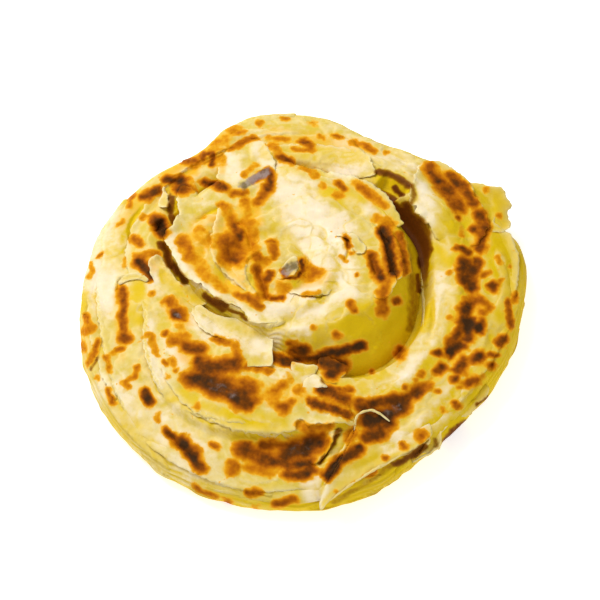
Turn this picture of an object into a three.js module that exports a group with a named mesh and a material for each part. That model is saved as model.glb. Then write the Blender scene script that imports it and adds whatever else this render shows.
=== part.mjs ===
// Coiled flaky flatbread (laccha paratha). One rope of layered dough is wound from a raised heart
// outwards, anticlockwise seen from above, and pressed flat: a heart, a middle turn on the near
// left, and an outer turn whose tapering end lies on top of itself at the near side.
// Millimetres, +Z up. The flat underside lies on z = 0, and the origin is the middle of the box there.
import * as THREE from 'three';

// Driving dimensions.
const HEART_HEIGHT = 24.5;
const HEART_DOME = 1.2; // how much the heart's middle stands above its edge
const RIM_HEIGHT = 5; // height of the widest line of the bread
const UNDERSIDE_INSET = 7; // how far the flat underside ends inside the outline
const TROUGH_WIDTH = 2.2; // bare width between the heart's foot and the next turn
const STEP_WIDTH = 2.4; // plan width of the step down from the middle turn
const CREST_RISE = 1.5; // how far a turn bulges above its two edges
const SHEET_STEP = 0.6; // relief of the sheets' edges along the outer turn
const SHEETS = 3; // how many sheets' edges start round the outer turn
const TEAR_DEPTH = 0.8; // how far the heart's torn edge wanders in and out

// Plan radii and heights round the bread: [bearing in degrees, value]. Bearing 0 is +X, 90 is +Y.
const OUTLINE = ring([
  [0, 80], [27, 84], [45, 81], [62, 75.5], [90, 81.5], [105, 82], [122, 77], [150, 79], [180, 80.3],
  [207, 82.6], [240, 83.9], [258, 83.5], [285, 80], [303, 75], [322, 73], [345, 76.5],
]);
const HEART_SHELF = ring([
  [0, 33], [35, 39], [70, 42], [110, 50], [160, 48], [185, 36], [210, 26], [250, 22], [285, 21],
  [325, 24],
]);
const HEART_FOOT = ring([
  [0, 42], [45, 43.5], [75, 46], [110, 53], [160, 50.5], [185, 39], [210, 29], [245, 26.5], [270, 30],
  [300, 38], [330, 41.5],
]);
const TROUGH_HEIGHT = ring([[20, 13], [75, 14], [130, 13], [185, 13], [215, 17], [250, 16.5], [300, 10.5]]);
const LIP_HEIGHT = ring([[20, 20], [48, 22], [75, 18], [130, 17], [180, 17], [225, 19], [265, 18], [310, 16.5]]);
const STEP_RADIUS = ring([[0, 62], [120, 66], [215, 64.5], [240, 64.5], [267, 58.5], [290, 57]]);
const STEP_DROP = ring([[20, 0], [170, 0], [205, 0.8], [235, 3], [275, 3.6], [290, 1.2], [315, 0]]);
const SHOULDER_HEIGHT = ring([[20, 15], [48, 16], [75, 13.5], [130, 13], [200, 12.5], [250, 11.5], [315, 12.5]]);

// The swirl in the heart: a spiral furrow about an off-centre point.
const SWIRL = { x: -9, y: 2, pitch: 12, depth: 2, reach: 34 };

// The outer turn's tapering end: its edge runs from the trough to the rim.
const TIP = { from: [11, -44], to: [6, -76], height: 2.6, fade: 24 };

// The raised corner of sheet at the far right.
const FLAP = { x: 47, y: 28, reach: 15, height: 2.5 };

// Facets: bearings round the bread, and rings in each stretch of a section.
const BEARINGS = 112;
const RINGS = { heart: 9, wall: 4, trough: 2, lip: 2, turn: 6, step: 2, skirt: 5, rim: 4 };

// A smooth closed curve through [bearing, value] pairs, as a function of bearing in degrees.
function ring(pairs) {
  const count = pairs.length;
  const knot = (index) => {
    const turn = Math.floor(index / count);
    const [bearing, value] = pairs[index - turn * count];
    return { at: bearing + 360 * turn, value };
  };
  const slope = (index) => {
    const before = knot(index - 1);
    const after = knot(index + 1);
    return (after.value - before.value) / (after.at - before.at);
  };
  return (bearing) => {
    const wrapped = ((bearing % 360) + 360) % 360;
    let index = pairs.findLastIndex(([at]) => at <= wrapped);
    const a = knot(index);
    const b = knot(index + 1);
    const span = b.at - a.at;
    const t = (wrapped - a.at) / span;
    const blend = t * t * (3 - 2 * t);
    const bend = span * t * (1 - t) * ((1 - t) * slope(index) - t * slope(index + 1));
    return a.value + (b.value - a.value) * blend + bend;
  };
}

const lerp = THREE.MathUtils.lerp;

// Eases from 0 at `from` to 1 at `to`, which may be the smaller of the two.
function smooth(from, to, value) {
  const t = THREE.MathUtils.clamp((value - from) / (to - from), 0, 1);
  return t * t * (3 - 2 * t);
}

// Spiral furrow in the heart, deepest near the swirl's centre.
function swirlRelief(x, y) {
  const dx = x - SWIRL.x;
  const dy = y - SWIRL.y;
  const reach = Math.hypot(dx, dy);
  const phase = 2 * Math.PI * (reach / SWIRL.pitch) - Math.atan2(dy, dx);
  const fade = smooth(SWIRL.reach, SWIRL.pitch, reach);
  const centred = smooth(0, SWIRL.pitch / 2, reach);
  return -SWIRL.depth * fade * (1 - centred + centred * 0.5 * (1 + Math.cos(phase)));
}

// The outer turn lies on itself right of the line TIP.from - TIP.to, and thins out away from it.
function tipRelief(x, y) {
  const [x0, y0] = TIP.from;
  const [x1, y1] = TIP.to;
  const length = Math.hypot(x1 - x0, y1 - y0);
  const across = ((x - x0) * (y0 - y1) + (y - y0) * (x1 - x0)) / length;
  const along = ((x - x0) * (x1 - x0) + (y - y0) * (y1 - y0)) / length;
  const inside = smooth(-6, 4, along) * smooth(length + 6, length - 4, along);
  return TIP.height * inside * smooth(-1.5, 1.5, across) * smooth(TIP.fade, 2, across);
}

function flapRelief(x, y) {
  return FLAP.height * smooth(FLAP.reach, 0, Math.hypot(x - FLAP.x, y - FLAP.y));
}

// Edges of overlapping sheets: steep-sided ripples that follow the turn and drift outwards with it.
function sheetRelief(bearing, fraction) {
  const phase = 2 * Math.PI * (2 * fraction + (SHEETS * bearing) / 360);
  return SHEET_STEP * (Math.sin(phase) - 0.5 * Math.sin(2 * phase)) * Math.sin(Math.PI * fraction);
}

// The heart's edge is torn: two uneven waves run round it.
function tear(bearing) {
  const radians = THREE.MathUtils.degToRad(bearing);
  return TEAR_DEPTH * (Math.sin(11 * radians) + 0.7 * Math.sin(17 * radians + 1));
}

// Half a section of the bread at one bearing, from the axis out over the top to the underside.
function section(bearing) {
  const points = [];
  const radians = THREE.MathUtils.degToRad(bearing);
  const outline = OUTLINE(bearing);
  const shelf = HEART_SHELF(bearing) + tear(bearing);
  const foot = HEART_FOOT(bearing) + tear(bearing);
  const lip = foot + TROUGH_WIDTH;
  const crestStart = lip + TROUGH_WIDTH;
  const step = STEP_RADIUS(bearing);
  const skirtStart = step + STEP_WIDTH;
  const lipHeight = LIP_HEIGHT(bearing);
  const shoulder = SHOULDER_HEIGHT(bearing);
  const stepHeight = lerp(lipHeight, shoulder, 0.3) + 0.35 * STEP_DROP(bearing);
  const skirtHeight = stepHeight - STEP_DROP(bearing);

  // Adds `count` points of a stretch; the height comes from the fraction along it.
  const stretch = (count, from, to, height) => {
    for (let i = 0; i < count; i += 1) {
      const fraction = i / count;
      const radius = lerp(from, to, fraction);
      points.push([radius, height(fraction, radius * Math.cos(radians), radius * Math.sin(radians))]);
    }
  };
  const wave = (f) => Math.sin(Math.PI * f);

  stretch(RINGS.heart, 0, shelf, (f, x, y) => HEART_HEIGHT + HEART_DOME * (1 - f * f) + swirlRelief(x, y));
  stretch(RINGS.wall, shelf, foot, (f) => lerp(HEART_HEIGHT, TROUGH_HEIGHT(bearing), f * f));
  stretch(RINGS.trough, foot, lip, () => TROUGH_HEIGHT(bearing));
  stretch(RINGS.lip, lip, crestStart, (f) => lerp(TROUGH_HEIGHT(bearing), lipHeight, f));
  stretch(RINGS.turn, crestStart, step, (f, x, y) => lerp(lipHeight, stepHeight, f) + CREST_RISE * wave(f)
    + tipRelief(x, y) + flapRelief(x, y) + sheetRelief(bearing, f));
  stretch(RINGS.step, step, skirtStart, (f, x, y) => lerp(stepHeight, skirtHeight, f)
    + tipRelief(x, y) + flapRelief(x, y));
  stretch(RINGS.skirt, skirtStart, outline, (f, x, y) => RIM_HEIGHT
    + (skirtHeight - RIM_HEIGHT + tipRelief(x, y) + flapRelief(x, y)) * Math.sqrt(1 - f * f * f));
  for (let i = 0; i <= RINGS.rim; i += 1) {
    const turn = (i / RINGS.rim) * (Math.PI / 2);
    points.push([outline - UNDERSIDE_INSET * (1 - Math.cos(turn)), RIM_HEIGHT * (1 - Math.sin(turn))]);
  }
  return points;
}

// Skins the sections into one closed body: a point on top, rings, and a flat underside.
function breadGeometry() {
  const sections = Array.from({ length: BEARINGS }, (_, index) => section((360 * index) / BEARINGS));
  const rings = sections[0].length - 1;
  const positions = [];
  const faces = [];
  const at = (index, ringIndex) => (index % BEARINGS) * rings + ringIndex - 1;
  sections.forEach((points, index) => {
    const radians = (2 * Math.PI * index) / BEARINGS;
    for (const [radius, height] of points.slice(1)) {
      positions.push(radius * Math.cos(radians), radius * Math.sin(radians), height);
    }
  });
  const top = BEARINGS * rings;
  const bottom = top + 1;
  positions.push(0, 0, sections[0][0][1]);
  positions.push(0, 0, 0);
  for (let index = 0; index < BEARINGS; index += 1) {
    faces.push(top, at(index, 1), at(index + 1, 1));
    for (let ringIndex = 1; ringIndex < rings; ringIndex += 1) {
      const a = at(index, ringIndex);
      const b = at(index, ringIndex + 1);
      const c = at(index + 1, ringIndex + 1);
      const d = at(index + 1, ringIndex);
      faces.push(a, b, c, a, c, d);
    }
    faces.push(bottom, at(index + 1, rings), at(index, rings));
  }
  const geometry = new THREE.BufferGeometry();
  geometry.setAttribute('position', new THREE.Float32BufferAttribute(positions, 3));
  geometry.setIndex(faces);
  geometry.computeBoundingBox();
  const middle = geometry.boundingBox.getCenter(new THREE.Vector3());
  geometry.translate(-middle.x, -middle.y, 0);
  geometry.computeVertexNormals();
  return geometry;
}

const crust = new THREE.MeshStandardMaterial({ color: 0xecd792, roughness: 0.75, metalness: 0 });
const bread = new THREE.Mesh(breadGeometry(), crust);
bread.name = 'bread';

const part = new THREE.Group();
part.add(bread);

export default part;
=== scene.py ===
"""Looks of a coiled flaky flatbread (laccha paratha).

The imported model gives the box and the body. Here the bread becomes a core of two closed skins, the
outer turn and the heart, with thin torn sheets of dough lying on them. Lengths are in millimetres,
except on the stage, which is in metres.

Places on the bread are given on a leaning plan: u is to the right and v is away, and a point (x, y, z)
has u = x + PLAN_X and v = y + PLAN_Y + LEAN * (z - PLAN_Z). So a mark keeps its shape down a wall.
"""
import bpy
import math
import numpy as np
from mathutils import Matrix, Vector
from mathutils.geometry import delaunay_2d_cdt


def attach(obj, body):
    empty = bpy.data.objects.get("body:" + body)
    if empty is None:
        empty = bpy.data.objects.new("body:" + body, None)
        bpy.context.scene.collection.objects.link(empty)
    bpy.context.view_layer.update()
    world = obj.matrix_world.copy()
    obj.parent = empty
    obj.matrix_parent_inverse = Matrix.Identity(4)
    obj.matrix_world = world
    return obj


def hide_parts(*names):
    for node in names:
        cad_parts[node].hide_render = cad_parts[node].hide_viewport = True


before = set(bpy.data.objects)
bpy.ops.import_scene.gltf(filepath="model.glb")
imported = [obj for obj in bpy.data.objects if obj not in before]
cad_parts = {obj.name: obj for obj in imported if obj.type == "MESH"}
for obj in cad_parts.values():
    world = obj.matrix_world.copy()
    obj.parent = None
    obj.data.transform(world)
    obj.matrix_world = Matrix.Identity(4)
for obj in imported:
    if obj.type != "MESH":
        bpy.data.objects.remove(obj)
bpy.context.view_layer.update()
MM = 0.001
NODE = "bread"
BODY = "root"
SLOT = "crust"
LEAN = 0.625
PLAN_X, PLAN_Y, PLAN_Z = 1.2, 5.6, 12.0

# ---------------------------------------------------------------------------------------------------
# Sizes of the core. Rings are (bearing in degrees, value) pairs; 0 is +X and 90 is +Y.
HEART_HEIGHT = 24.5
HEART_DOME = 1.2
HEART_SINK = 0.3        # the foot of the heart's wall lies this far below the trough
HEART_BASE = 2.0        # height of the heart's underside, which is hidden inside the turns
WELL_HEIGHT = 3.0       # height of the turns' skin under the heart
RIM_HEIGHT = 5.0
UNDERSIDE_INSET = 7.0
STEP_WIDTH = 2.4
CREST_RISE = 1.5
TROUGH_UNDERCUT = 2.5   # how far the trough's floor falls away under the heart
UNDER_HEART = 4.0       # how far the trough's floor goes on inwards under the heart
UNDERSIDE_HOLLOWS = 0.5
FLOOR_GAP = 0.15        # the looks stay this far above the plane that the bread stands on
SHEAF_PITCH = 1.7       # from one sheet's edge to the next, down a wall of stacked sheets
SHEAF_DEPTH = 0.6       # how far such an edge stands out
WRINKLE_TURN = 30       # degrees of bearing in which a wrinkle along the coil drifts by a millimetre
SLOPE_STEP = 1.0        # half the distance over which a slope is measured
CURVE_SPACING = 2.0     # from point to point of a step or a groove
STEP_REACH = 12         # how far from a step its relief still counts
HALO = 3.2              # how far a stroke's faint border goes past its half width

# Points round the axis, and rings of points on the turns' top, rim and underside, or the heart's top
# and wall.
TURN_MESH, TURN_MESH_QUICK = (720, 100, 12, 24), (480, 70, 8, 14)
HEART_MESH, HEART_MESH_QUICK = (540, 96, 30), (360, 60, 20)


def ring(pairs):
    """A smooth closed curve through (bearing, value) pairs, as a function of bearing in degrees."""
    at, value = np.array(pairs, float).T
    at = np.concatenate([at[-2:] - 360, at, at[:2] + 360])
    value = np.concatenate([value[-2:], value, value[:2]])
    slope = np.gradient(value, at)

    def curve(bearing):
        b = np.mod(bearing, 360.0)
        i = np.clip(np.searchsorted(at, b, side="right") - 1, 0, len(at) - 2)
        span = at[i + 1] - at[i]
        t = (b - at[i]) / span
        blend = t * t * (3 - 2 * t)
        bend = span * t * (1 - t) * ((1 - t) * slope[i] - t * slope[i + 1])
        return value[i] + (value[i + 1] - value[i]) * blend + bend
    return curve


# The notch near 21 degrees lies below the flap of sheet at the far right corner.
OUTLINE = ring([
    (0, 80), (12, 82.5), (18, 81.8), (21.5, 78), (25, 82.2), (30, 84), (37, 80.5), (50, 74.4), (69, 72.8),
    (82, 79), (90, 81.3), (103, 82), (112, 79.4), (122, 74.3), (134, 76.6), (150, 79), (180, 80.3),
    (207, 82.6), (240, 83.9), (258, 83.5), (285, 80), (303, 75), (322, 74), (335, 75.8), (346, 77.2)])
HEART_SHELF = ring([
    (0, 33), (35, 39), (70, 42), (110, 50), (160, 48), (185, 36), (210, 26), (250, 22), (285, 21),
    (325, 24)])
HEART_FOOT = ring([
    (0, 42.2), (28, 45.6), (48, 45.4), (75, 46), (110, 53), (160, 50.5), (185, 39), (210, 29),
    (245, 26.5), (270, 30), (300, 38), (330, 41.5)])
TROUGH_WIDTH = ring([(0, 2.2), (18, 2.5), (34, 3.2), (50, 2.9), (70, 2.2), (180, 2.2), (300, 2.2)])
TROUGH_HEIGHT = ring([(20, 13), (75, 14), (130, 14), (185, 15), (215, 18), (250, 17), (300, 10.5)])
LIP_HEIGHT = ring([
    (20, 20), (48, 22), (75, 18), (130, 17), (180, 17), (225, 19), (265, 18), (310, 16.5)])
STEP_RADIUS = ring([(0, 62), (120, 66), (215, 64.5), (240, 64.5), (267, 58.5), (290, 57)])
STEP_DROP = ring([(20, 0), (170, 0), (205, 0.8), (235, 3), (275, 3.6), (290, 1.2), (315, 0)])
SHOULDER_HEIGHT = ring([
    (20, 15), (48, 16), (75, 13.5), (130, 13), (200, 12.5), (250, 11.5), (315, 12.5)])

# How brown, rather than olive, the painted shade deep in the trough round the heart is.
TROUGH_BROWN = ring([
    (0, 0.3), (20, 0.85), (45, 1.0), (75, 0.5), (110, 0.7), (150, 1.0), (200, 0.9), (225, 0.6),
    (262, 0.75), (285, 0.4), (320, 0.0)])

# Layers that have flaked off: (feature size, drop, level of the noise at the edge).
LEDGES = [(11, 0.3, 0.22), (9, 0.28, -0.3), (14, 0.35, -0.05)]

# The groove that winds into the heart, the raised corner, and the outer turn's tapering end. The end's
# edge runs from start to end, fades in and out there, and slopes from its crest back to the turn.
SWIRL = dict(x=-9, y=2, pitch=12, depth=2.0, reach=34)
FLAP = dict(x=47, y=28, reach=15, height=2.5)
TIP = dict(start=(11, -44), end=(6, -76), height=2.6, before=6, after=4, edge=1.5, crest=2, fade=24)


# ---------------------------------------------------------------------------------------------------
# Smooth steps and seeded noise.
def ease(start, end, value):
    """A smooth step from 0 at start to 1 at end, which may be the smaller of the two."""
    t = np.clip((value - start) / (end - start), 0, 1)
    return t * t * (3 - 2 * t)


def lerp(a, b, t):
    """The value that lies t of the way from a to b."""
    return a + (b - a) * t


def lattice(ix, iy, seed):
    """A repeatable value from 0 to 1 for each whole-number cell."""
    h = (ix * 374761393 + iy * 668265263 + seed * 974634777) & 0xFFFFFFFF
    h = ((h ^ (h >> 13)) * 1274126177) & 0xFFFFFFFF
    return ((h ^ (h >> 16)) & 0xFFFF) / 65535.0


def noise(x, y, scale, seed):
    """Smooth noise from -1 to 1 with features of about `scale`."""
    fx, fy = x / scale, y / scale
    ix, iy = np.floor(fx).astype(np.int64), np.floor(fy).astype(np.int64)
    tx, ty = fx - ix, fy - iy
    tx, ty = tx * tx * (3 - 2 * tx), ty * ty * (3 - 2 * ty)
    low = lerp(lattice(ix, iy, seed), lattice(ix + 1, iy, seed), tx)
    high = lerp(lattice(ix, iy + 1, seed), lattice(ix + 1, iy + 1, seed), tx)
    return 2 * lerp(low, high, ty) - 1


def line_noise(along, scale, seed):
    """Smooth noise from -1 to 1 along a line."""
    return noise(along, np.zeros(np.shape(along)), scale, seed)


def fractal(x, y, scale, seed, octaves=3):
    """Noise from -1 to 1 with features of `scale` and, more faintly, of its halves."""
    total = np.zeros(np.shape(x))
    for i in range(octaves):
        total += 0.5 ** i * noise(x + 17.3 * i, y - 9.1 * i, scale / 2 ** i, seed + i)
    return total / (2 - 0.5 ** (octaves - 1))


# ---------------------------------------------------------------------------------------------------
# Heights of the two parts of the core.
def polar(x, y):
    return np.hypot(x, y), np.degrees(np.arctan2(y, x))


def from_polar(radius, bearing):
    radians = np.radians(bearing)
    return radius * np.cos(radians), radius * np.sin(radians)


def swirl_relief(x, y):
    dx, dy = x - SWIRL["x"], y - SWIRL["y"]
    reach = np.hypot(dx, dy)
    phase = 2 * np.pi * reach / SWIRL["pitch"] - np.arctan2(dy, dx)
    fade = ease(SWIRL["reach"], SWIRL["pitch"], reach)
    centred = ease(0, SWIRL["pitch"] / 2, reach)
    return -SWIRL["depth"] * fade * (1 - centred + centred * 0.5 * (1 + np.cos(phase)))


def tip_relief(x, y):
    (x0, y0), (x1, y1) = TIP["start"], TIP["end"]
    length = math.hypot(x1 - x0, y1 - y0)
    across = ((x - x0) * (y0 - y1) + (y - y0) * (x1 - x0)) / length
    along = ((x - x0) * (x1 - x0) + (y - y0) * (y1 - y0)) / length
    before, after, edge = TIP["before"], TIP["after"], TIP["edge"]
    inside = ease(-before, after, along) * ease(length + before, length - after, along)
    return TIP["height"] * inside * ease(-edge, edge, across) * ease(TIP["fade"], TIP["crest"], across)


def flap_relief(x, y):
    return FLAP["height"] * ease(FLAP["reach"], 0, np.hypot(x - FLAP["x"], y - FLAP["y"]))


def coil_noise(r, bearing, stretch, scale, seed):
    """Noise drawn out along the coil, without a seam where the bearing wraps."""
    other = bearing - 360 * np.sign(bearing)
    here = noise(r + bearing / WRINKLE_TURN, bearing * stretch, scale, seed)
    there = noise(r + other / WRINKLE_TURN, other * stretch, scale, seed)
    return lerp(here, there, 0.5 * ease(140, 180, np.abs(bearing)))


def bumps(x, y):
    """Blisters and waves of a fried sheet, and wrinkles that follow the coil."""
    r, bearing = polar(x, y)
    wrinkles = coil_noise(r, bearing, 0.3, 4.2, 21) + 0.6 * coil_noise(r, bearing, 0.25, 2.3, 22)
    waves = 0.75 * fractal(x, y, 12, 3) + 0.3 * fractal(x, y, 4.5, 11, 2)
    return waves + 0.3 * wrinkles * ease(8, 20, r)


def lip_and_foot(d, lip_width, foot_width):
    """How near a lip and the foot below it a point is, at a distance d behind the lip."""
    lip = ease(-0.7, 0.2, d) * np.exp(-np.maximum(d, 0) / lip_width)
    foot = ease(0.7, -0.2, d) * np.exp(-np.maximum(-d, 0) / foot_width)
    return lip, foot


def ledges(x, y):
    """Ragged edges of thin layers that have flaked off: height, and how near a lip and a foot a point is."""
    height, lip, foot = np.zeros(x.shape), np.zeros(x.shape), np.zeros(x.shape)
    r, bearing = polar(x, y)
    for i, (scale, drop, level) in enumerate(LEDGES):
        flakes = fractal(x, y, scale, 400 + 9 * i, 4)
        strands = coil_noise(1.5 * r, bearing, 0.5, scale, 405 + 9 * i)
        d = (0.6 * flakes + 0.5 * strands - level) * scale * 0.8
        height += drop * (ease(-0.4, 0.4, d) - 0.5)
        this_lip, this_foot = lip_and_foot(d, 0.6, 0.9)
        lip, foot = np.maximum(lip, this_lip), np.maximum(foot, this_foot)
    return height, lip, foot


def heart_top(x, y):
    """The heart's upper face, carried on past its edge."""
    r, bearing = polar(x, y)
    f = np.clip(r / HEART_SHELF(bearing), 0, 1.25)
    return HEART_HEIGHT + HEART_DOME * (1 - f * f) + swirl_relief(x, y) + bumps(x, y)


def heart_height(x, y):
    """The heart's upper face and its wall, down into the trough."""
    r, bearing = polar(x, y)
    shelf, foot = HEART_SHELF(bearing), HEART_FOOT(bearing)
    f = np.clip((r - shelf) / (foot - shelf), 0, 1.4)
    return heart_top(x, y) - (HEART_HEIGHT - TROUGH_HEIGHT(bearing) + HEART_SINK) * f ** 1.6


def turn_top(x, y):
    """The upper face of the outer turns, carried on inwards over the trough."""
    r, bearing = polar(x, y)
    foot, outline, step = HEART_FOOT(bearing), OUTLINE(bearing), STEP_RADIUS(bearing)
    crest_start = foot + 2 * TROUGH_WIDTH(bearing)
    lip, drop = LIP_HEIGHT(bearing), STEP_DROP(bearing)
    step_height = lerp(lip, SHOULDER_HEIGHT(bearing), 0.3) + 0.35 * drop
    f = np.clip((r - crest_start) / (step - crest_start), 0, 1)
    g = np.clip((r - step - STEP_WIDTH) / (outline - step - STEP_WIDTH), 0, 1)
    raised = tip_relief(x, y) + flap_relief(x, y)
    upper = lerp(lip, step_height, f) + CREST_RISE * np.sin(np.pi * f) + raised
    skirt = step_height - drop - RIM_HEIGHT + raised
    lower = RIM_HEIGHT + skirt * np.sqrt(1 - g ** 3)
    top = np.where(r < step, upper, lower + drop * ease(step + STEP_WIDTH, step, r))
    return top + bumps(x, y) * ease(1.0, 0.8, g)


def turn_height(x, y):
    """The outer turns' upper face, falling into the trough round the heart."""
    r, bearing = polar(x, y)
    foot, width = HEART_FOOT(bearing), TROUGH_WIDTH(bearing)
    rise = ease(foot + 0.4 * width, foot + 2 * width, r)
    below = TROUGH_UNDERCUT * ease(foot + 0.3, foot - 3, r)
    return lerp(TROUGH_HEIGHT(bearing) - below + 0.3 * bumps(x, y), turn_top(x, y), rise)


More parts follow.
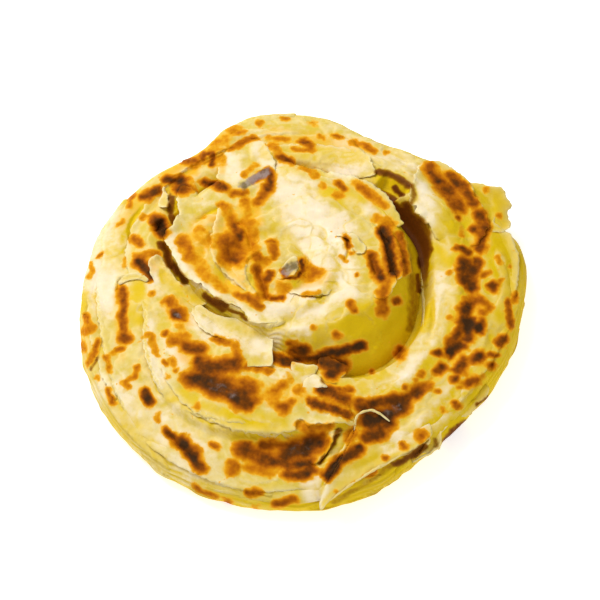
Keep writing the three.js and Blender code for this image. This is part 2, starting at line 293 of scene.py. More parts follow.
# ---------------------------------------------------------------------------------------------------
# Strokes on the leaning plan are (strength, half width, (u, v), ...). These are the griddle marks.
MARKS = [
    # heart, left half
    (0.62, 2.0, (-10.7, 58.3), (-11.7, 50), (-14.9, 45.5)), (0.35, 1.5, (-19.6, 57.6), (-16.5, 61.5)),
    (0.6, 1.2, (-24.6, 48.7), (-20.2, 50)), (0.45, 2.2, (-28, 44.3), (-25.4, 41), (-23.3, 35.4)),
    (0.72, 5.4, (-25, 27.8), (-24, 21.5)), (0.76, 1.6, (-23.5, 34.5), (-21.5, 30)),
    (0.4, 3.4, (-18.5, 35), (-17.5, 26)), (0.4, 2.2, (-20, 46), (-19, 40)),
    (0.56, 2.8, (-41.7, 28.3), (-39.1, 22.6)), (0.32, 3.2, (-36, 32), (-33, 29)), (0.4, 0.9, (-34.4, 38.5)),
    (0.34, 2.4, (-36, 20), (-33, 13), (-27, 9)), (0.55, 2.2, (-16, 22), (-12.8, 20)),
    (0.64, 2.0, (-15.4, 16.9), (-12.8, 10.5), (-12.3, 6)), (0.78, 1.0, (-10.7, 15), (-11.2, 12.4)),
    (0.6, 1.6, (-10.2, 28.3), (-8.6, 22.6)), (0.4, 2.2, (-7, 9.9), (-5.4, 8)),
    (0.66, 1.0, (-9.6, 4.8), (-6, 4.5)), (0.62, 1.6, (-22.3, 6), (-18.6, 4.1), (-14.4, 1)),
    (0.5, 1.8, (-14.5, 4)),
    # heart, right half
    (0.46, 2.6, (1.6, 18), (6, 15), (2, 13)), (0.3, 1.3, (1, 6), (6, 6.4)),
    (0.85, 0.7, (0.6, 20), (1.2, 16), (-0.6, 13.4)), (0.7, 0.8, (-6.4, 16), (-5.2, 13.2), (-2, 12.8)),
    (0.62, 1.1, (-16.6, 54.8), (-12, 59.4)), (0.7, 1.3, (-10.6, 57), (-10.8, 51)),
    (0.92, 2.5, (30.2, 33), (31.8, 24.5), (32.9, 15.6)), (0.64, 1.5, (35, 30.9), (37.1, 21.3), (37.6, 15)),
    (0.42, 2.2, (27.6, 38.5), (32.4, 36)), (0.78, 2.2, (25.5, 21.3), (27.6, 13)),
    (0.6, 2.4, (30.8, 11.8), (28.7, 5.4), (29.2, -1)), (0.78, 1.6, (34.5, 2.9)),
    (0.62, 1.4, (17.6, 2.2), (19.2, 0)), (0.74, 0.7, (16.3, 30.9), (17.4, 25.8)),
    (0.35, 0.7, (14.5, 22), (16.5, 19.7)), (0.55, 0.6, (20, 14.6)), (0.5, 0.7, (18.7, 23)),
    (0.36, 1.6, (8.7, 52.9)), (0.68, 1.4, (14, 53.5), (16, 50.5)), (0.42, 1.2, (13, 48.7), (14.5, 47.5)),
    (0.5, 1.8, (20.8, 53.2), (25.5, 48.7), (30.3, 44.3)), (0.35, 1.3, (0, 60.2), (6.6, 57)),
    (0.58, 2.0, (12.9, -11)), (0.36, 1.2, (5, -8)), (0.66, 2.0, (36, -17), (35, -19.3)),
    # the wall's foot and what is folded into the trough
    (0.97, 2.0, (3.9, -21.1), (8.7, -18.9), (15, -17.6), (21.3, -15.7)),
    (0.85, 2.0, (-9.2, -20.5), (-3.4, -21.8), (1.3, -20.5)), (0.85, 2.4, (-2, -17.5), (1.3, -17.5)),
    (0.6, 1.0, (-4, -14.5), (-1.5, -14.8)), (0.9, 2.8, (8.7, -22.6), (15, -23), (11.3, -26.5)),
    (0.82, 2.2, (7.6, -33), (11, -34.6), (16, -37.6)),
    (0.8, 1.5, (3.4, -37.9), (7.6, -39.7), (16.6, -43.3)), (0.38, 1.3, (8.7, -37.9), (17, -39.7)),
    (0.6, 1.2, (15.4, -33.4), (17.8, -33.4)), (0.55, 0.9, (25.3, -26.8)),
    # middle turn
    (0.62, 2.2, (-46.5, 2.9), (-44.4, 0), (-41.7, -3.3)), (0.78, 1.2, (-44.6, -1), (-43.6, -3)),
    (0.42, 2.0, (-42.3, -8)), (0.5, 2.6, (-43.9, -13.4), (-40.7, -12.8)),
    (0.8, 2.5, (-39.7, -15.7), (-34.4, -17)), (0.82, 3.5, (-34.4, -22.5), (-28.1, -24.5), (-23.5, -23)),
    (0.9, 4.2, (-36, -29), (-30.2, -31.8), (-22.8, -35), (-18.6, -37.6)), (0.64, 4.2, (-17.6, -32.5)),
    (0.58, 3.2, (-33.6, -27), (-26, -29.4), (-20, -31)), (0.5, 1.8, (-40.2, -28.3)),
    (0.52, 1.7, (-29.2, -12.8), (-22.8, -14.6), (-21.3, -20.5)),
    (0.56, 1.5, (-18.6, -23.5), (-14.4, -24.7), (-10.2, -26)), (0.5, 1.8, (-9.2, -33.1), (-5.5, -31.3)),
    (0.36, 2.5, (0.3, -33.7)), (0.72, 2.5, (-6, -40.3)), (0.6, 1.2, (-3, -38.3)), (0.38, 4.5, (-9, -36)),
    (0.66, 1.1, (-47, -10.4)), (0.42, 1.2, (-54.4, -11.3), (-51.8, -11), (-51.3, -16.3), (-49.7, -19.3)),
    (0.55, 1.0, (-47, -22.3)), (0.46, 0.9, (-45, -20.5), (-43.9, -23)), (0.5, 0.8, (-43.1, -25.3)),
    (0.4, 0.8, (-46.5, -27.7)), (0.45, 1.4, (-35.7, -39.4)),
    (0.5, 1.6, (-0.3, -47), (3, -48.8), (10.4, -48)), (0.75, 1.3, (6.6, -33.4), (7.8, -34.6)),
    (0.3, 1.0, (-5, -27), (-3.4, -30)),
    # outer turn, left
    (0.7, 1.6, (-63.8, 7.3), (-63, 0), (-62.6, -9.2)), (0.82, 2.2, (-61.8, -12.2)),
    (0.5, 1.0, (-62.3, -17), (-65.5, -18.1)), (0.5, 1.5, (-75.5, -3.8), (-73.9, -7.4), (-76.3, -10.4)),
    (0.42, 1.7, (-77.3, -15.3), (-77.2, -17.8)), (0.58, 0.9, (-71.3, -14), (-72.3, -18), (-75, -23)),
    (0.46, 0.9, (-68.1, -20), (-67, -25.3)), (0.6, 0.9, (-66.8, -33.7), (-65, -39)),
    (0.42, 0.9, (-72, -29.2)), (0.5, 1.1, (-57, -24.7), (-58.1, -28.3), (-61.3, -30.1), (-60.5, -32.5)),
    (0.92, 1.5, (-54, -34.6), (-52.4, -38.6)), (0.42, 1.0, (-49.2, -43.4), (-49, -45)),
    (0.45, 1.3, (-53, 6.7)), (0.72, 1.7, (-59.6, 29.6), (-58, 27.7)),
    (0.4, 0.8, (-66.7, 35.7), (-64.9, 37.3)), (0.42, 1.0, (-57.5, 39.2)),
    (0.48, 1.0, (-62.3, 44.3), (-62.8, 47.5), (-60.7, 49.4)), (0.58, 0.5, (-73, 22), (-71.5, 23.6)),
    (0.35, 0.8, (-75.2, 19.4), (-74.9, 16.2), (-76.5, 12.4)), (0.3, 0.8, (-63.3, 21.3), (-63.3, 18.2)),
    (0.5, 1.4, (-59, 22), (-51.2, 23)), (0.88, 2.2, (-58, 19.4), (-55.4, 17.6), (-53.5, 14)),
    # outer turn, far left and far side
    (0.88, 3.5, (-43.6, 55), (-42.6, 51.5)), (0.97, 2.8, (-52.4, 38), (-49.6, 32)),
    (0.85, 1.7, (-35.4, 55.1), (-31.2, 53.8), (-27.5, 52)), (0.82, 1.9, (-49, 55.4), (-47, 55.4)),
    (0.8, 2.0, (-57, 48), (-52.3, 51.3)),
    (0.72, 0.9, (-36.6, 65.6), (-35.2, 68), (-32.9, 68), (-31.9, 65.8), (-32.3, 62.8)),
    (0.44, 2.4, (-40, 63.5), (-37, 65)), (0.6, 1.7, (-43.6, 65), (-40, 65.4)),
    (0.32, 3.2, (-31, 70), (-28, 73.5)), (0.4, 2.3, (-26, 78.5), (-22.5, 78.7)),
    (0.36, 1.5, (-29, 66), (-28.5, 62)), (0.58, 1.5, (-24.9, 69.7), (-21.2, 73), (-17, 74.5)),
    (0.36, 1.7, (-15.4, 81.5)), (0.5, 0.8, (-6.5, 83.4), (-4.2, 83.4)),
    (0.46, 1.2, (-11.7, 75.5), (-7, 74.2), (-4.4, 74.5)),
    (0.4, 1.9, (-10.2, 71.7), (-8, 67.2), (-6.5, 64.6)), (0.72, 1.3, (-7, 65.3), (-2.8, 63.4)),
    (0.68, 1.9, (1.5, 73.6), (3.9, 70.4)), (0.5, 0.8, (-2, 69.3), (3, 69)),
    (0.46, 0.9, (7.6, 75.2), (9.3, 75.2)), (0.62, 0.9, (12.4, 76.4), (15.5, 75.8)),
    (0.5, 1.2, (19.2, 73.2), (23.4, 71.3), (27.1, 68.5)), (0.36, 1.0, (31.8, 68.2)), (0.28, 2.0, (5, 81.5)),
    # the raised corner at the far right
    (0.7, 3.2, (47.6, 60), (50.8, 54.5), (55, 48.7), (58.2, 43)),
    (0.8, 2.4, (55, 57.6), (60, 51.3), (63, 45.4)), (0.78, 1.2, (48, 58.6), (50.5, 54.4)),
    (0.5, 2.4, (56.5, 52)), (0.6, 1.0, (57.6, 38.2)), (0.8, 2.2, (65.4, 41), (66.6, 34), (65, 25.5)),
    (0.86, 1.7, (62.9, 34)), (0.32, 1.1, (58.7, 34), (58.5, 31)),
    (0.5, 1.1, (62.5, 26.9), (66, 25.6), (68.2, 27)), (0.78, 1.6, (56.3, 25.2), (60, 24.4)),
    (0.35, 1.2, (68.7, 50.6)), (0.42, 1.2, (72.9, 40)),
    # outer turn, right: a chain of marks
    (0.86, 2.8, (58.7, 19.4), (60.8, 14.3), (61.3, 8.6)), (0.8, 1.8, (57.5, 16), (57.8, 11)),
    (0.78, 1.9, (63.6, 20), (62.9, 16.5)), (0.9, 2.2, (69.4, 9.2)), (0.62, 1.1, (66, 14.6), (67.4, 15.4)),
    (0.5, 1.0, (72.4, 11.8), (70.8, 9.2)), (0.7, 2.6, (61.3, 3.5), (58.7, 0)),
    (0.55, 1.8, (64, 4), (66.6, 1)), (0.5, 0.9, (58.2, 4.1)), (0.42, 1.2, (71.6, 22), (71.6, 20)),
    (0.32, 0.9, (75.5, 18.2)), (0.5, 0.7, (77.1, 6), (76, 3.5)),
    (0.68, 1.1, (73.9, 2.2), (74.2, -2.6), (75, -8)), (0.5, 0.9, (76.6, 2.8)), (0.35, 0.9, (53.2, 15)),
    (0.78, 2.3, (58.7, 0), (57.6, -3.8), (56, -9.2), (53.9, -13.4), (53, -18.5)),
    (0.86, 2.4, (60.3, -7.4), (63.4, -8)), (0.88, 2.2, (59, -6), (59.5, -12)),
    (0.7, 1.6, (63.9, -5.5), (63.9, -9.8)), (0.9, 2.4, (54, -17.5), (57, -15.5)), (0.8, 1.8, (48.7, -18.7)),
    (0.78, 1.8, (50.3, -24.1), (48.2, -26.5)), (0.78, 2.4, (58, -22), (55, -26)), (0.8, 1.6, (53.8, -29.3)),
    (0.45, 0.8, (52.9, -4.4)), (0.5, 1.0, (55.5, 0)), (0.62, 1.0, (60.8, -4.4)), (0.62, 2.0, (64.5, -1.6)),
    (0.5, 1.4, (67.6, 0)), (0.9, 2.3, (62.2, -21), (62.8, -19.8)),
    (0.62, 1.1, (66.6, -19.3), (69.2, -19.3)), (0.78, 2.1, (70.6, -14.2), (72, -12.6)),
    (0.76, 1.7, (67.6, -24.1)), (0.68, 2.0, (62, -29), (58.9, -30.8)), (0.46, 1.0, (57.6, -27)),
    (0.68, 1.7, (54.5, -38.8)), (0.36, 1.2, (49.2, -41.5)), (0.4, 0.8, (56, -32.5)),
    (0.62, 2.2, (40.8, -51.8), (41.9, -50.8)), (0.62, 1.1, (35, -55), (35.6, -55.8)),
    (0.55, 0.9, (29.2, -60.4)), (0.4, 0.8, (12.4, -73.8)), (0.46, 0.7, (21.8, -67.8), (25.5, -66)),
    # outer turn, right: the second dark patch, down to the tapering end
    (0.84, 2.4, (20.6, -39.4), (29.7, -37.9), (37, -37.2), (41.4, -34)),
    (0.86, 3.0, (31.5, -42), (36, -40.6)), (0.82, 3.0, (23.6, -43), (30, -43.6)),
    (0.84, 3.8, (23.8, -46.3), (29.7, -47)), (0.88, 2.6, (22.9, -52), (27.6, -51)), (0.7, 1.1, (37, -32.5)),
    (0.56, 2.4, (41, -32.2), (44.6, -31.6)), (0.52, 1.1, (48.2, -33.7)), (0.6, 1.5, (42.4, -26.5)),
    (0.5, 0.8, (40.3, -29.5)), (0.97, 2.1, (8.8, -66.8), (11.8, -62.9)),
    (0.9, 1.8, (11.8, -62.9), (15.9, -59.8), (20, -56.6)), (0.46, 1.6, (18.2, -50), (16.6, -53.5)),
    # outer turn, near side
    (0.84, 1.2, (-46, -49.6), (-43.5, -52)), (0.96, 3.0, (-41, -54.7), (-36.6, -59.4)),
    (0.9, 2.0, (-35.5, -60.5), (-33.4, -64)), (0.58, 1.3, (-30.2, -55), (-28.8, -55.8)),
    (0.6, 2.4, (-22.9, -63.3), (-23.7, -65.8)), (0.74, 3.2, (-19.2, -57), (-12.3, -61), (-7, -62.3)),
    (0.7, 2.4, (-12.2, -56), (-9, -55.4)), (0.46, 1.6, (-21.8, -55.6), (-18, -55)),
    (0.46, 2.4, (-17, -64), (-10.7, -65.8)), (0.93, 4.4, (-4, -58.3), (0.3, -56.6), (5.2, -54)),
    (0.86, 2.3, (-3.4, -67.3), (0, -67.3), (4, -65.5)), (0.8, 2.2, (-3, -63.6), (3, -61.8)),
    (0.68, 1.4, (-17, -74.6), (-14, -74.3)), (0.72, 1.6, (-8.2, -78.6), (-2, -77)),
    (0.62, 1.1, (-25.5, -77.2), (-24, -78)), (0.58, 0.9, (-36, -71.7), (-33.4, -73.8), (-28.9, -75.6)),
    (0.32, 0.8, (-16, -80), (-14, -80)),
]

# Ashen spots: burnt skin with a grey bloom.
ASHEN = [
    (0.9, 1.5, (-20.4, 51.7), (-17.6, 55), (-12.6, 59)), (0.7, 1.8, (-14.6, 57), (-12, 59.5)),
    (0.9, 2.0, (-5, 15.6), (-1.8, 18.6)), (0.45, 2.6, (-30, -31), (-23, -35)),
    (0.4, 2.2, (-44.5, -1), (-43, -3)), (0.35, 3, (-2, -58), (4, -55)), (0.4, 2.6, (30, -43), (34, -41)),
]

# Painted shadow at the bottom of gaps and under overhanging sheets: olive shade, and dark brown where it is
# deepest.
GAP_SHADOWS = [
    (0.85, 2.2, (-52, 37), (-50, 33)), (0.75, 1.1, (-47, 50.6), (-47.2, 43.5), (-46.2, 37.3)),
    (0.75, 1.0, (-31.6, 3.1), (-29.4, 1), (-27.5, -1.1)),
    (0.6, 0.8, (-25.1, -0.7), (-22.2, -2), (-19.3, -4.5)),
    (0.8, 1.5, (28.4, 58.6), (32.5, 58), (36.5, 55.6), (39.6, 52.6)),
    (0.5, 1.0, (40.8, 52.4), (41.4, 48.4), (40.2, 44.8)), (0.8, 1.3, (33, -63), (38, -60.6), (42.8, -56.4)),
    (0.9, 1.5, (51, -54), (53, -50.6), (57.4, -47.4)), (0.7, 1.2, (8, -29.4), (12, -30.5)),
    (0.7, 0.7, (62.3, -40), (65.3, -36.6)), (0.5, 0.8, (46.6, -53.5), (46.8, -56)),
    (0.75, 1.0, (13.2, -49.4), (11.4, -53.5), (8.9, -58.2), (6.8, -62.4)),
    (0.6, 0.8, (-70.6, -14), (-71.6, -19.4), (-73.6, -24.6)),
    (0.95, 1.7, (38.4, 43.4), (41.8, 37.4), (44.4, 31), (45, 25), (43.8, 18.6)),
    (0.62, 1.6, (43.6, 36.4), (46, 32.4), (46, 25)),
    (0.9, 1.5, (-50, 27.5), (-47.9, 21.2), (-45, 16.2), (-41.3, 11.7)),
    (0.85, 1.4, (-33, 5.4), (-30, 3.2), (-26.6, 0.8)),
    (0.4, 1.3, (12, -78), (20.5, -72), (30, -64.8), (38, -58.8)),
    (0.3, 1.4, (-31, -48.6), (-20, -51.8), (-10, -53)), (0.8, 0.8, (42.4, 14), (42.6, 7)),
    (0.45, 2.2, (38, 26), (40, 12), (40.5, 0), (39, -8)), (0.95, 0.8, (34.8, 52), (37.3, 48.8)),
]

# Golden stain round and between the marks.
GOLD = [
    (0.8, 3.2, (-34, 71), (-31, 75), (-27, 78)), (0.7, 2.5, (-30, 66), (-29.5, 60)),
    (0.8, 2.6, (-51, 60.5), (-45, 61.5), (-39, 60)), (0.85, 7, (-36, 27), (-28, 30), (-22, 27), (-21, 20)),
    (0.7, 3, (-40, 25), (-36, 17), (-30, 12), (-22, 9)), (0.75, 4, (-19, 44), (-17, 36)),
    (0.6, 2.5, (-15, 56), (-12, 50)), (0.55, 4, (-5, 10), (3, 13), (8, 13)),
    (0.6, 6, (-38, -18), (-30, -27), (-20, -33)), (0.7, 6, (-34, 34), (-27, 38), (-22, 34)),
    (0.6, 3.4, (-24, 14), (-16, 10)), (0.6, 4, (-9, -33), (-2, -35)), (0.6, 4, (-45, 1), (-41, -6)),
    (0.55, 6, (-18, -60), (-5, -61), (5, -56)), (0.5, 6, (61, 15), (60, 0), (55, -14), (50, -24)),
    (0.6, 5, (50, 58), (58, 46)), (0.6, 4, (62, 38), (65, 30)), (0.6, 3, (-58, 22), (-53, 18)),
    (0.7, 3, (32, 34), (37, 20)), (0.5, 5, (28, -40), (38, -37)), (0.5, 4, (25, -50), (16, -60)),
    (0.4, 3, (-76, -14), (-76, -24)), (0.5, 2, (-65, 5), (-63, -20)),
    (0.45, 5, (-10, 76), (6, 73), (22, 70)), (0.4, 4, (22, 52), (30, 44)),
    (0.5, 4, (-52, 50), (-60, 45), (-64, 36)), (0.4, 3, (-40, -56), (-34, -64)),
    (0.4, 3, (12, -28), (8, -38), (16, -42)), (0.4, 3, (-12, 18), (-12, 8)),
]

# Painted olive shade, partly also fat in the dough: on slopes away from the light, in hollows, and a little
# over the whole right side.
SHADE_AND_FAT = [
    (0.6, 3.5, (-62, 6), (-60, -1)), (0.7, 3, (-58, 8), (-57, 2), (-56.4, -5)),
    (0.9, 4, (53, 31), (53, 26), (54.5, 22)),
    (1.0, 2.4, (10, -78), (20.4, -73.4), (34.3, -65.6), (41, -62.5)),
    (0.55, 7, (36, 8), (34, -8), (26, -16)), (0.35, 9, (25, -30), (33, -38)),
    (0.8, 2.3, (44.9, 17), (45.9, 8), (45.1, 0), (43.6, -8)), (0.5, 4, (10, 50), (20, 46)),
    (0.45, 3.4, (-4, 60), (7, 58)), (0.85, 1.2, (-33, -44.6), (-22, -49.5), (-10, -52)),
    (0.7, 2, (-44.7, -36.9), (-40, -34.4)), (0.6, 1.6, (80, 22), (81, 12)),
    (0.6, 2.5, (-44, 9), (-38, 6), (-35, 5)), (0.3, 20, (62, 30), (62, 0), (56, -18)),
    (0.7, 2, (0, -24), (6, -25)), (0.8, 3.6, (31, 55), (35.2, 52.4), (38.1, 48.4)),
    (0.5, 3, (62, 37), (62, 31)), (0.5, 2.5, (-64, 30), (-60, 36)), (0.4, 7, (14, -8), (24, -8)),
    (0.5, 5, (66, 50), (72, 44), (72, 37)), (0.55, 1.6, (-77, 6), (-77.6, 0)),
    (0.5, 3, (12, -34), (22, -32)), (0.5, 4, (-8, -47), (-24, -43)), (0.5, 5, (20, 66), (6, 68), (-10, 69)),
    (0.8, 2.6, (-47, 13), (-41.4, 7.7), (-36, 4.3), (-32.3, 1.4)),
    (0.7, 3.4, (-38.4, -37.7), (-29.5, -43.6), (-17.3, -46.4), (-7, -47.6)),
    (0.8, 6, (10.7, -9), (21.4, -5), (30.4, -1), (36, 7.7)),
    (0.8, 5, (36.3, -9), (30, -17.4), (17.7, -19.4)),
    (0.9, 3.4, (12, -77), (24, -69), (34.3, -62), (43, -59)), (0.35, 4, (64, -9), (60, -28)),
    (0.55, 4, (63, 51.5), (70, 47), (73.5, 40)),
    (0.45, 5, (-66, -41.6), (-55, -57.4), (-41, -72.8), (-23.7, -78.5)),
    (0.9, 3, (47.5, 31.5), (53, 29), (56.4, 25)), (0.45, 6, (70, 20), (73, 4), (72, -10)),
    (0.4, 5, (-67, 25), (-66, 34), (-58, 46)),
]

# Cream: dough that stayed dry and pale, and in part painted light on parts that face the key light.
CREAM_AND_LIGHT = [
    (0.8, 3.6, (-8, -11), (2, -10.5), (8, -9)), (1.1, 9, (-7, 56), (0, 46), (7, 30), (11, 14), (4, 4)),
    (0.8, 6, (14, 35), (13, 25), (16, 8)), (0.9, 5, (0, 3), (-8, 1)),
    (1.0, 5, (17, 71), (20, 64), (16, 60)), (1.0, 8, (-66, 36), (-72, 24), (-72, 12), (-68, 3)),
    (1.0, 3, (-1.6, -24.4), (5, -25.6)), (1.0, 2.2, (3, -30), (8, -30.6)),
    (0.9, 2.6, (-53.5, -7), (-52, -17), (-49, -31)),
    (1.0, 3.2, (-37.5, -4), (-32, -10), (-21, -14), (-13, -17)),
    (1.0, 4.2, (44.4, 51), (46, 42), (43.5, 35)),
    (1.0, 3.6, (50.6, 13), (50.2, 4), (46, -17), (37, -29.6), (25, -35)), (0.8, 4, (3, -66), (6, -77)),
    (0.55, 9, (-60, -36), (-52, -46), (-46, -54), (-33, -67)),
    (1.0, 2.4, (-46.5, 29), (-42.8, 18), (-36, 10), (-27, 3.5), (-16, -5)), (0.9, 4, (-26, 64), (-24, 58)),
    (0.9, 3.4, (-14, 70), (-12, 63)), (0.8, 3, (-10.6, -25), (-6, -27)), (0.7, 2, (-5, 7), (8, 6)),
    (0.6, 4, (-52, 9), (-50, 17)), (0.7, 2, (30, 38), (24, 44), (18, 46)), (0.5, 5, (-70, -28), (-64, -44)),
    (0.6, 3, (-46, -12), (-42, -22)), (1.0, 4.6, (56, -33), (48, -43), (40, -50), (31, -56)),
    (0.5, 3, (-30, -48), (-14, -54)), (0.6, 2.4, (41, 62), (30, 66)),
]

# Steps at the edges of sheets: (drop, (u, v), ...). The upper sheet is on the left of the way.
STEPS = [
    (1.2, (-38, -42), (-27, -46.8), (-20, -50.3), (-13, -51.6), (-6, -51.4), (-0.5, -50.5)),
    (1.5, (-73, 11), (-71.6, 0), (-71, -4.9), (-69.1, -15.3), (-67, -23.5), (-64.8, -31.6), (-62.5, -37.7),
     (-59, -45)),
    (1.8, (-56, 2), (-54.6, -4.1), (-53.9, -15.3), (-52.2, -23.5), (-49.8, -30.4), (-47, -36)),
    (1.3, (-66.4, 7), (-65, 12.4), (-61.4, 13.7), (-57.1, 14.2), (-53.5, 11)),
    (1.0, (-22, -68.4), (-17.1, -70.5), (-13, -70.5), (-7, -69)),
    (0.8, (-18.4, 72.1), (-17.9, 63.8)),
    (1.8, (19.7, -47), (18.7, -50.5), (16, -55.3), (14.5, -59.5), (10.3, -65.5), (8.7, -70.2), (7, -77)),
    (1.1, (26.8, 57), (26, 61.5), (23.4, 67), (19.2, 75)),
    (0.9, (35, 42.4), (29.7, 50), (15.5, 55), (6.6, 56.8), (0, 59.8), (-6.5, 64)),
    (1.0, (-30.2, 36), (-31.3, 29), (-31.4, 23), (-29.5, 18), (-25.4, 13), (-21.5, 9)),
    (0.9, (-10, 2), (-15, 6), (-18.8, 12), (-18.5, 20), (-13, 26)),
    (1.5, (-20.8, -3.5), (-18.1, -5.8), (-13.4, -7.2), (-8, -6.8), (-5, -4.8)),
    (0.8, (-60, 60), (-66, 50), (-70, 40), (-72, 28), (-71, 16)),
    (0.8, (44, 50), (52, 44), (57, 34), (58, 27)),
    (0.7, (-52, 50), (-40, 62), (-26, 70), (-12, 76), (2, 77)),
    (0.7, (70, 26), (76, 14), (77.5, 2), (75, -12), (70, -26)),
    (0.7, (-48, -24), (-44, -33), (-36, -41.5), (-24, -46)),
    (0.8, (-37.5, 1), (-37, -3), (-34, -7.5), (-29, -11.5), (-24, -13.5)),
    (0.6, (22, -1), (27, -8), (28, -14), (24, -20)),
    (0.5, (-14, -73), (-18, -71.5), (-24, -70)),
]

# Grooves between folds: (depth, half width, (u, v), ...).
GROOVES = [
    (4.2, 3.4, (29, 56), (33, 53), (37.5, 48.5)), (1.5, 1.2, (-2, 63), (5, 60), (12, 58.5)),
    (2.6, 2.4, (-52.5, 37), (-50, 33.5)), (1.4, 1.0, (-70.4, -13), (-71.4, -19.4), (-73.9, -25.5)),
    (1.6, 1.0, (25.5, 23), (27.8, 12)), (2.2, 1.2, (29.2, 36), (31.8, 24.5), (33, 14)),
    (1.6, 0.9, (34, 34), (37, 22), (37.6, 12)), (1.4, 1.0, (-15.4, 18), (-12.8, 10.5), (-11, 5), (-5, 3)),
    (1.2, 0.8, (-23, 38), (-19, 33), (-17, 24)), (1.0, 0.8, (-38, 36), (-34, 40), (-28, 44)),
    (1.2, 0.9, (-46.5, -50.4), (-41, -56), (-36.5, -62)), (0.8, 0.8, (-71.3, -14), (-75, -23)),
    (1.2, 0.8, (1.5, 7), (7, 5.5), (10, 7.5)), (1.0, 0.7, (16, 31), (17.6, 25), (15.5, 19.5)),
    (0.9, 0.8, (47.5, 20), (46.5, 8), (47, -4), (45, -14)), (0.7, 0.7, (52, -44), (60, -36), (66, -28)),
    (0.8, 0.8, (-55, 16), (-60, 24), (-62, 36), (-56, 46)), (0.7, 0.8, (30, 70), (40, 64)),
]


def spline(points, spacing, closed=False):
    """Points along a Catmull-Rom curve through (a, b, ...) rows, about `spacing` apart."""
    p = np.array(points, float)
    if len(p) < 3 and not closed:
        p = np.vstack([lerp(p[0], p[-1], t) for t in np.linspace(0, 1, 3)])
    n = len(p)
    spans = n if closed else n - 1
    pick = (lambda i: p[i % n]) if closed else (lambda i: p[min(max(i, 0), n - 1)])
    rows = []
    for i in range(spans):
        a, b, c, d = pick(i - 1), pick(i), pick(i + 1), pick(i + 2)
        steps = max(2, int(math.ceil(math.dist(b[:2], c[:2]) / spacing)))
        for t in np.arange(steps) / steps:
            rows.append(0.5 * (2 * b + (c - a) * t + (2 * a - 5 * b + 4 * c - d) * t ** 2
                               + (3 * b - a - 3 * c + d) * t ** 3))
    if not closed:
        rows.append(p[-1])
    return np.array(rows)


STEP_CURVES = [(drop, spline(points, CURVE_SPACING)) for drop, *points in STEPS]
GROOVE_CURVES = [(depth, half, spline(points, CURVE_SPACING)) for depth, half, *points in GROOVES]


def to_path(u, v, path):
    """Distance to a path, positive on its left, and how far along it from 0 to 1."""
    best = np.full(u.shape, 1e9)
    side = np.ones(u.shape)
    along = np.zeros(u.shape)
    for i in range(len(path) - 1):
        (au, av), (bu, bv) = path[i][:2], path[i + 1][:2]
        du, dv = bu - au, bv - av
        t = np.clip(((u - au) * du + (v - av) * dv) / (du * du + dv * dv + 1e-9), 0, 1)
        d = np.hypot(u - au - t * du, v - av - t * dv)
        near = d < best
        best = np.where(near, d, best)
        side = np.where(near, np.where(du * (v - av) - dv * (u - au) >= 0, 1.0, -1.0), side)
        along = np.where(near, (i + t) / (len(path) - 1), along)
    return best * side, along


def near_path(u, v, path, reach):
    """Indexes of the points that lie within reach of a path's box."""
    p = np.array(path)
    return np.nonzero((u > p[:, 0].min() - reach) & (u < p[:, 0].max() + reach)
                      & (v > p[:, 1].min() - reach) & (v < p[:, 1].max() + reach))[0]


def on_plan(x, y, z):
    return x + PLAN_X, y + PLAN_Y + LEAN * (z - PLAN_Z)


def stroke_field(u, v, strokes, seed, soft=1.0):
    """How strongly each point is marked, 0 to about 1, with wandering, softly faded outlines."""
    warp_u = 1.15 * fractal(u, v, 4.6, seed) + 0.3 * noise(u, v, 1.4, seed + 3)
    warp_v = 1.15 * fractal(u + 40, v, 4.6, seed + 5) + 0.3 * noise(u, v + 40, 1.4, seed + 8)
    u, v = u + soft * warp_u, v + soft * warp_v
    total = np.zeros(u.shape)
    for strength, half, *points in strokes:
        path = points * 2 if len(points) == 1 else points
        i = near_path(u, v, path, half + HALO)
        if len(i):
            d = np.abs(to_path(u[i], v[i], path)[0])
            core = ease(1.35 * half + 0.6 * soft, 0.2 * half, d)
            halo = ease(half + HALO * soft, 0.5 * half, d)
            total[i] += (strength * (0.72 * core + 0.28 * halo)) ** 3
    return total ** (1 / 3)


def relief(x, y, z):
    """Height of ledges, steps and grooves, and how near a sheet's lip and its foot a point is."""
    height, lip, foot = ledges(x, y)
    # Lips are later painted pale, partly as a highlight, and feet and the bottoms of grooves in painted
    # shade.
    lip, foot = 0.6 * lip, 0.6 * foot
    u, v = on_plan(x, y, z)
    for drop, path in STEP_CURVES:
        i = near_path(u, v, path, STEP_REACH)
        if len(i):
            d, along = to_path(u[i], v[i], path)
            d = d + 0.55 * fractal(u[i], v[i], 2.6, 31) + 0.25 * noise(u[i], v[i], 0.9, 37)
            ends = ease(0, 0.12, along) * ease(1, 0.88, along)
            raised, sunk = 0.6 * np.exp(-np.abs(d) / 3.5), -0.4 * np.exp(-np.abs(d) / 2.0)
            height[i] += drop * ends * np.where(d >= 0, raised, sunk)
            step_lip, step_foot = lip_and_foot(d, 0.8, 1.3)
            lip[i] = np.maximum(lip[i], ends * step_lip)
            foot[i] = np.maximum(foot[i], ends * drop * step_foot)
    for depth, half, path in GROOVE_CURVES:
        i = near_path(u, v, path, 5 * half)
        if len(i):
            d, along = to_path(u[i], v[i], path)
            d = d + 0.5 * fractal(u[i], v[i], 2.6, 41)
            cut = ease(0, 0.2, along) * ease(1, 0.8, along) * np.exp(-(d / half) ** 2)
            height[i] -= depth * cut
            foot[i] = np.maximum(foot[i], cut)
    return height, lip, foot


# ---------------------------------------------------------------------------------------------------
# Skins.
AROUND = np.arange(0, 360, 0.5)
OUTLINE_XY = np.array(from_polar(OUTLINE(AROUND), AROUND))
MIDDLE = (OUTLINE_XY.max(axis=1) + OUTLINE_XY.min(axis=1)) / 2


